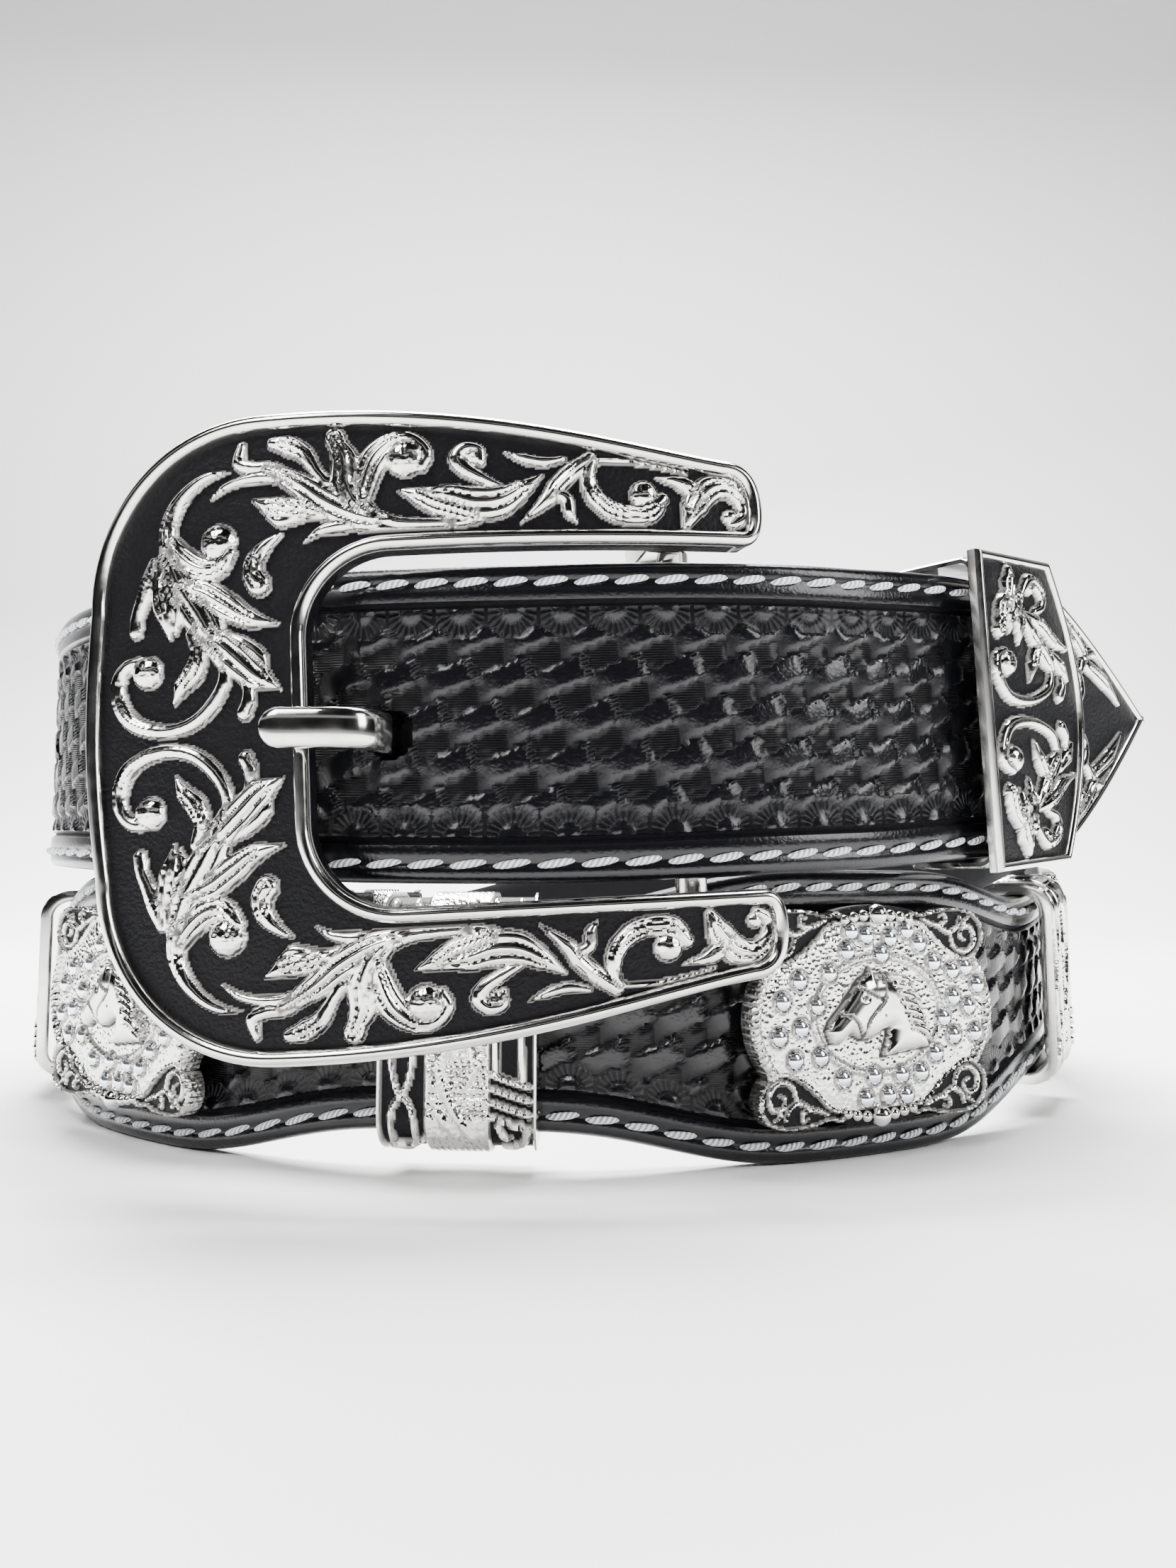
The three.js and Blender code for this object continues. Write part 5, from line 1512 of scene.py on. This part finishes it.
def slide_relief(x, around):
    rise = np.zeros(x.shape)
    for points, widths in WIRES:
        rise = np.maximum(rise, stem_rise(x, around, points, widths, 1.2))
    for i in range(COIL_TURNS):
        level = COIL_TOP - COIL_PITCH * i
        coil = [(4.5, level + 0.7), (6.4, level), (8.6, level - 0.7)]
        rise = np.maximum(rise, 1.3 * stem_rise(x, around, coil, [COIL_WIDTH, COIL_WIDTH], 1.2))
    in_band = np.abs(x - BAND_CENTRE) < BAND_HALF_WIDTH
    row = np.rint(around / DOT_ROW)
    dot_x = (x / DOT_PITCH + 0.5 * (row % 2)) % 1 - 0.5
    dots = np.hypot(dot_x * DOT_PITCH, around - row * DOT_ROW)
    stipple = 0.45 + 0.32 * dome(np.clip(dots / DOT_RADIUS, 0, 1))
    height = np.maximum(rise, np.where(in_band, stipple, 0))
    for edge in BRIGHT_LINES:
        line_reach = np.clip((x - edge) / BRIGHT_LINE_HALF_WIDTH, -1, 1)
        height = np.maximum(height, 0.75 * dome(line_reach))
    height = height - 0.5 * smoothstep(9.5, 9.8, np.abs(x))
    ground = 1 - smoothstep(0.18, 0.45, height)
    ground *= np.abs(x) < 9.6
    return height, ground, np.where(in_band, 0.6, 0.0)


SLIDE_WIDTH, SLIDE_WALL, SLIDE_STEP = 19.6, 1.2, 0.25
slide_path, slide_outward = loop_path(15.4, 3.6, -6.2, 4, 0.27)
slide_master = loop_piece("slide_master", SLIDE_WIDTH, SLIDE_WALL, slide_path, slide_outward,
                          slide_relief, SLIDE_STEP)
print("slide", len(slide_master.data.vertices), "points")

# %% [markdown]
# Five slides sit on the belt, two trims apart. Each is a copy of the flat one with its own mesh, bent
# to the belt's curve and carried to its place.

# %% Slides on the belt
SLIDE_BEND = 94


def placed_copy(master, name, distance, lift=0.0, bend=None):
    obj = master.copy()
    obj.data = master.data.copy()
    obj.name = obj.data.name = name
    bpy.context.scene.collection.objects.link(obj)
    points = points_of(obj)
    if bend:
        points = bent(points, bend)
    put_in_place(obj, placed(points, distance, lift))
    return obj


for index, steps in enumerate((-4, -2, 0, 2, 4), 1):
    slide = placed_copy(slide_master, f"dressed_slide_{index}", steps * TRIM_PITCH, bend=SLIDE_BEND)
    finished(slide, CAST_SILVER, "silver", f"slide_{index}")
bpy.data.objects.remove(slide_master)

# %% [markdown]
# The conchos are oval plates with four black ears, beads above and below, a rope edge at both sides,
# bezel-set stones on an engraved field and a traditional horse's head in a roped oval. First the
# drawing, in millimetres from the concho's middle.

# %% Concho drawing
CONCHO_HALF_LENGTH, CONCHO_HALF_HEIGHT, CONCHO_TOP = 20.0, 14.4, 2.4
EAR_X, EAR_Y, EAR_RADIUS = 15.4, 10.2, 3.5
STONES = [
    (-1.9, 10.4), (2.1, 10), (5, 11), (7.1, 9.2), (0.6, 7.9), (-5.1, 8.4), (-8, 5.6), (-10, 1.5),
    (-15.4, 2.2), (-16, -2.2), (-13.6, -5.2), (-9.6, -5), (-6, -8), (-2.3, -10.8), (-1, -7.9),
    (1.4, -10.6), (3.6, -8), (7, -8), (4.4, -10.8), (9.6, 6.6), (12.9, 5.4), (15.3, 5.8),
    (17.4, 3.3), (13, 1.8), (15.7, 0.4), (11.2, -0.9), (13, -3.4), (16.8, -3.2), (-12.8, 4.8),
    (-12.6, -1.2), (-4.4, 11), (9.6, -5.6),
]
HORSE_HEAD = np.array([
    (-8.9, -1.8), (-8.3, -0.7), (-7.2, 0.4), (-4.9, 2.9), (-3.5, 4.6), (-2.4, 5.1), (-1.8, 6.2),
    (-1.1, 5.2), (0.4, 5.3), (2.4, 4.7), (4.9, 2.9), (6.4, 0.2), (7.4, -2.4), (8, -4.5),
    (4.4, -4.9), (0.2, -5.4), (1, -3.4), (1.4, -1.7), (0.4, -1.9), (-1.6, -2.9), (-3.4, -3.1),
    (-5.2, -2.3), (-6.8, -3.4), (-8.2, -3.3),
])
BRIDLE = [
    ([(0.2, 5), (0, 2.2), (-2.6, -0.4), (-3.2, -2.6)], [0.4, 0.4, 0.4]),
    ([(-3.6, 3.6), (-1.6, 2.6), (0, 2.1)], [0.4, 0.4, 0.4]),
    ([(-6.7, 0.3), (-5, -0.2), (-3.4, -2.8)], [0.4, 0.4, 0.4]),
]
EYE = (-3.1, 2.4)
MANE = [([(1.6 + 0.5 * i, 5 - 1.1 * i), (3.9 + 0.45 * i, 4.4 - 1.1 * i), (6 + 0.42 * i, 2.6 - 1.1 * i)],
         [1.1, 1.2, 0.3]) for i in range(7)]
EAR_SCROLLS = [
    ([(8.2, 12.4), (10.4, 11.6), (12.2, 11.9), (12.2, 12.9), (11.2, 12.8)], [0.5, 0.7, 0.6, 0.5, 0.4]),
    ([(10.6, 11.6), (12.8, 10.6), (14.4, 11.3), (14.9, 12.6)], [0.5, 0.8, 0.7, 0.5]),
    ([(13, 10.6), (13.9, 8.4), (16, 7.9), (17.4, 9.3), (16.9, 11.1), (15.3, 11.1), (15, 9.9),
      (15.9, 9.4)], [0.5, 0.7, 0.8, 0.8, 0.7, 0.6, 0.5, 0.4]),
    ([(16.6, 12.6), (15.6, 11.9), (16.2, 11.3)], [0.4, 0.6, 0.4]),
]
print(len(STONES), "stones on each concho")

# %% [markdown]
# The plate's outline is an oval with four ears. Both are kept as depths inside, so that joining them
# is taking the larger one.

# %% Concho outline
ROPE_WIDTH, ROPE_HALF_HEIGHT, ROPE_STRANDS = 1.3, 8.5, 46
OVAL_HALF_LENGTH, OVAL_HALF_HEIGHT, OVAL_LINE, OVAL_STRANDS = 10.6, 7.6, 0.42, 38
SEAT_RADIUS, BEZEL_RADIUS = 1.12, 1.38
EAR_RIM, EAR_TIP = 0.42, 0.75


def oval_depth(x, y, half_x, half_y):
    scaled = np.hypot(x / half_x, y / half_y) + 1e-9
    return (1 - scaled) * scaled / np.hypot(x / half_x ** 2, y / half_y ** 2).clip(1e-6)


def ear_depth(x, y):
    """Depth inside one of the four black ears, which taper towards the top and bottom beads."""
    line = np.array([(6.4, 12.7), (10, 11.9), (EAR_X, EAR_Y)])
    distance, _, share = nearest(np.abs(x), np.abs(y), line)
    return EAR_TIP + (EAR_RADIUS - EAR_TIP) * smoothstep(0.1, 1, share) - distance


def concho_depth(x, y):
    return np.maximum(oval_depth(x, y, CONCHO_HALF_LENGTH, CONCHO_HALF_HEIGHT), ear_depth(x, y))


# %% [markdown]
# The engraver works from the edge inwards: rope, roped oval, stone seats, horse, then the ears. Each
# step below raises its own form and blackens the cuts round it. A step takes the height and the
# tarnish so far and gives both back.

# %% Concho relief


def roped(x, y, depth, height, tarnish):
    """The rope at both sides of the plate and the roped oval round the horse."""
    field = height
    turn = np.arctan2(y * 1.4, x)
    rope = np.abs(np.sin(turn * ROPE_STRANDS + depth * 2.5))
    on_rope = (depth < ROPE_WIDTH) & (np.abs(y) < ROPE_HALF_HEIGHT)
    tarnish = np.where(on_rope & (rope < 0.35), 0.7, tarnish)
    rope_round = dome((depth - ROPE_WIDTH / 2) / (ROPE_WIDTH / 2))
    height = np.where(on_rope, 0.1 + 0.55 * rope_round * (0.6 + 0.4 * rope), height)
    ring = oval_depth(x, y, OVAL_HALF_LENGTH, OVAL_HALF_HEIGHT)
    strands = np.abs(np.sin(turn * OVAL_STRANDS))
    on_ring = np.abs(ring) < OVAL_LINE
    tarnish = np.where(np.abs(np.abs(ring) - 0.5) < 0.1, 0.6, tarnish)
    tarnish = np.where(on_ring & (strands < 0.3), 0.6, tarnish)
    ring_round = dome(ring / OVAL_LINE) * (0.6 + 0.4 * strands)
    return np.where(on_ring, field + 0.42 * ring_round, height), tarnish


def seated(x, y, field, height, tarnish):
    """A bezel ring and a sunk seat for each stone."""
    for stone_x, stone_y in STONES:
        reach = np.hypot(x - stone_x, y - stone_y)
        bezel = 0.5 * dome(np.clip((reach - SEAT_RADIUS) / (BEZEL_RADIUS - SEAT_RADIUS), -1, 1))
        seat = np.where(reach < SEAT_RADIUS, field - 0.25, field + bezel)
        height = np.where(reach < BEZEL_RADIUS, seat, height)
        tarnish = np.where((reach > BEZEL_RADIUS) & (reach < 1.62) | (reach < 1.1), 0.55, tarnish)
    return height, tarnish


def with_horse(x, y, field, height, tarnish, horse):
    """A rounded horse's head with bridle, eye and mane, outlined in black."""
    relief = np.where(horse > 0, 0.45 + 1.1 * dome(np.clip(1 - horse / 2.4, 0, 1)), 0)
    tarnish = np.where((horse > -0.35) & (horse < 0.05), 0.9, tarnish)
    for points, widths in BRIDLE:
        strap_line = stem_rise(x, y, points, widths) > 0.05
        relief = relief - 0.3 * strap_line
        tarnish = np.where(strap_line, 0.9, tarnish)
    eye = np.hypot(x - EYE[0], y - EYE[1])
    relief = relief - 0.35 * np.exp(-(eye / 0.4) ** 2)
    tarnish = np.where(eye < 0.35, 0.9, tarnish)
    for points, widths in MANE:
        lock = stem_rise(x, y, points, widths, 1.3)
        tarnish = np.where((lock > 0) & (lock < 0.5), 0.8, np.where(lock >= 0.5, 0, tarnish))
        relief = np.where(lock > 0, 0.5 + lock, relief)
    raised = (horse > 0) | (relief > 0.2)
    return np.where(raised, np.maximum(field + relief, field), height), tarnish


def with_ears(x, y, height, ear):
    """Black ears with fine scrolls and a notched rim. Also gives their black ground."""
    scroll, _, _ = ornament_rise(np.abs(x), np.abs(y), EAR_SCROLLS, [])
    notches = np.abs(np.sin((np.abs(x) + np.abs(y) * 0.7) * 5.5))
    ear_face = np.where(ear < EAR_RIM, 0.15 + 0.35 * notches, np.maximum(-0.35, scroll * 0.8 - 0.35))
    height = np.where(ear > 0, ear_face, height)
    return height, np.where(ear > EAR_RIM, 1 - smoothstep(-0.3, 0.0, height), 0)


def concho_height(x, y, depth):
    ear, horse = ear_depth(x, y), depth_inside(x, y, HORSE_HEAD)
    field = -0.15 + 0.35 * smoothstep(0, 4, depth)
    height, tarnish = roped(x, y, depth, field, np.zeros(x.shape))
    height, tarnish = seated(x, y, field, height, tarnish)
    height, tarnish = with_horse(x, y, field, height, tarnish, horse)
    height, ground = with_ears(x, y, height, ear)
    bead_strip = (np.abs(x) < 6.4) & (np.abs(y) > 12.1) & (height < 0.3)
    ground = np.maximum(np.where(bead_strip, 1, ground), np.where(ear > 0, 0, tarnish))
    height = height - 0.4 * (1 - dome(np.clip(1 - depth / 0.5, 0, 1)))
    return height + CONCHO_TOP, ground, np.where(ground > 0.5, 0, 0.7 * (horse < 0))


concho_master = casting("concho_master", ((-20.4, -15), (20.4, 15)), 0.235, concho_depth,
                        concho_height, -0.001)
print("concho", len(concho_master.data.vertices), "points")

# %% [markdown]
# Clear stones with mirrored backs sparkle in the seats. Glass would need many light bounces for a
# stone of two millimetres, so the crystal is a bright metal under a clear coat, and its facets do
# the sparkling.

# %% Concho stones


def crystal_material():
    material = plain_material("crystal", (0.86, 0.9, 0.95), 0.03, 0.9)
    material.node_tree.nodes["Principled BSDF"].inputs["Coat Weight"].default_value = 1.0
    return material


CRYSTAL = crystal_material()
STONE_RADIUS, GIRDLE_HEIGHT, CROWN_HEIGHT, TABLE_SHARE, STONE_LIFT = 1.08, 0.3, 0.42, 0.52, 0.35


def one_stone():
    """A round cut stone: a flat table, a slanting crown of ten facets and a girdle."""
    bpy.ops.mesh.primitive_cylinder_add(vertices=10, radius=STONE_RADIUS, depth=GIRDLE_HEIGHT)
    obj = named("stone")
    pick_faces(obj, 0.9)
    bpy.ops.mesh.extrude_region_move(TRANSFORM_OT_translate={"value": (0, 0, CROWN_HEIGHT)})
    bpy.ops.transform.resize(value=(TABLE_SHARE, TABLE_SHARE, 1))
    bpy.ops.transform.rotate(value=math.radians(18), orient_axis="Z", center_override=(0, 0, 0))
    bpy.ops.mesh.select_all(action="SELECT")
    bpy.ops.mesh.quads_convert_to_tris()
    bpy.ops.object.mode_set(mode="OBJECT")
    return obj


stone_points, stone_faces = shape_of(one_stone())
stone_copies = [stone_points + [stone_x, stone_y, CONCHO_TOP + STONE_LIFT]
                for stone_x, stone_y in STONES]
stones_master = repeated("stones_master", stone_copies, stone_faces)
print(len(stone_copies), "stones of", len(stone_faces), "facets")

# %% [markdown]
# Beads of solid metal stand above and below, one large between small ones. They are cast with the
# plate, so each is a ball sunk to its middle, and its lower half isn't seen.

# %% Concho beads
BEADS = [(0, 1.45), (2.3, 0.78), (3.9, 0.74), (5.4, 0.7)]


def bead_set():
    """A row of round beads above and below: one large in the middle and three small on each side."""
    balls = []
    for side in (-1, 1):
        for bead_x, radius in BEADS:
            for mirror in ((1,) if bead_x == 0 else (-1, 1)):
                bpy.ops.mesh.primitive_uv_sphere_add(segments=18, ring_count=10, radius=radius)
                ball = bpy.context.object
                place = [mirror * bead_x, side * (13.1 - 0.022 * bead_x ** 2), CONCHO_TOP + 0.15]
                set_points(ball, points_of(ball) + place)
                balls.append(ball)
    bpy.ops.object.select_all(action="DESELECT")
    for ball in balls:
        ball.select_set(True)
    bpy.ops.object.join()
    return bpy.context.object


beads_master = bead_set()
print("beads", len(beads_master.data.vertices), "points")

# %% [markdown]
# Four conchos sit between the slides. Their screws would lift them a little off the leather, so each
# copy is placed 0.3 mm above it.

# %% Conchos on the belt
CONCHO_LIFT = 0.3
for index, steps in enumerate((-3, -1, 1, 3), 1):
    concho = placed_copy(concho_master, f"dressed_concho_{index}", steps * TRIM_PITCH, CONCHO_LIFT)
    finished(concho, CAST_SILVER, "silver", f"concho_{index}")
    stones = placed_copy(stones_master, f"concho_stones_{index}", steps * TRIM_PITCH, CONCHO_LIFT)
    finished(stones, CRYSTAL, "silver")
    beads = placed_copy(beads_master, f"concho_beads_{index}", steps * TRIM_PITCH, CONCHO_LIFT)
    finished(beads, POLISHED_SILVER, "silver")
for master in (concho_master, stones_master, beads_master):
    bpy.data.objects.remove(master)

# %% [markdown]
# Every solid now has a dressed piece in its place. The last step prints the names of the solids that
# still show.

# %% Finish
print("solids still showing:", [name for name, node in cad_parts.items() if not node.hide_render])
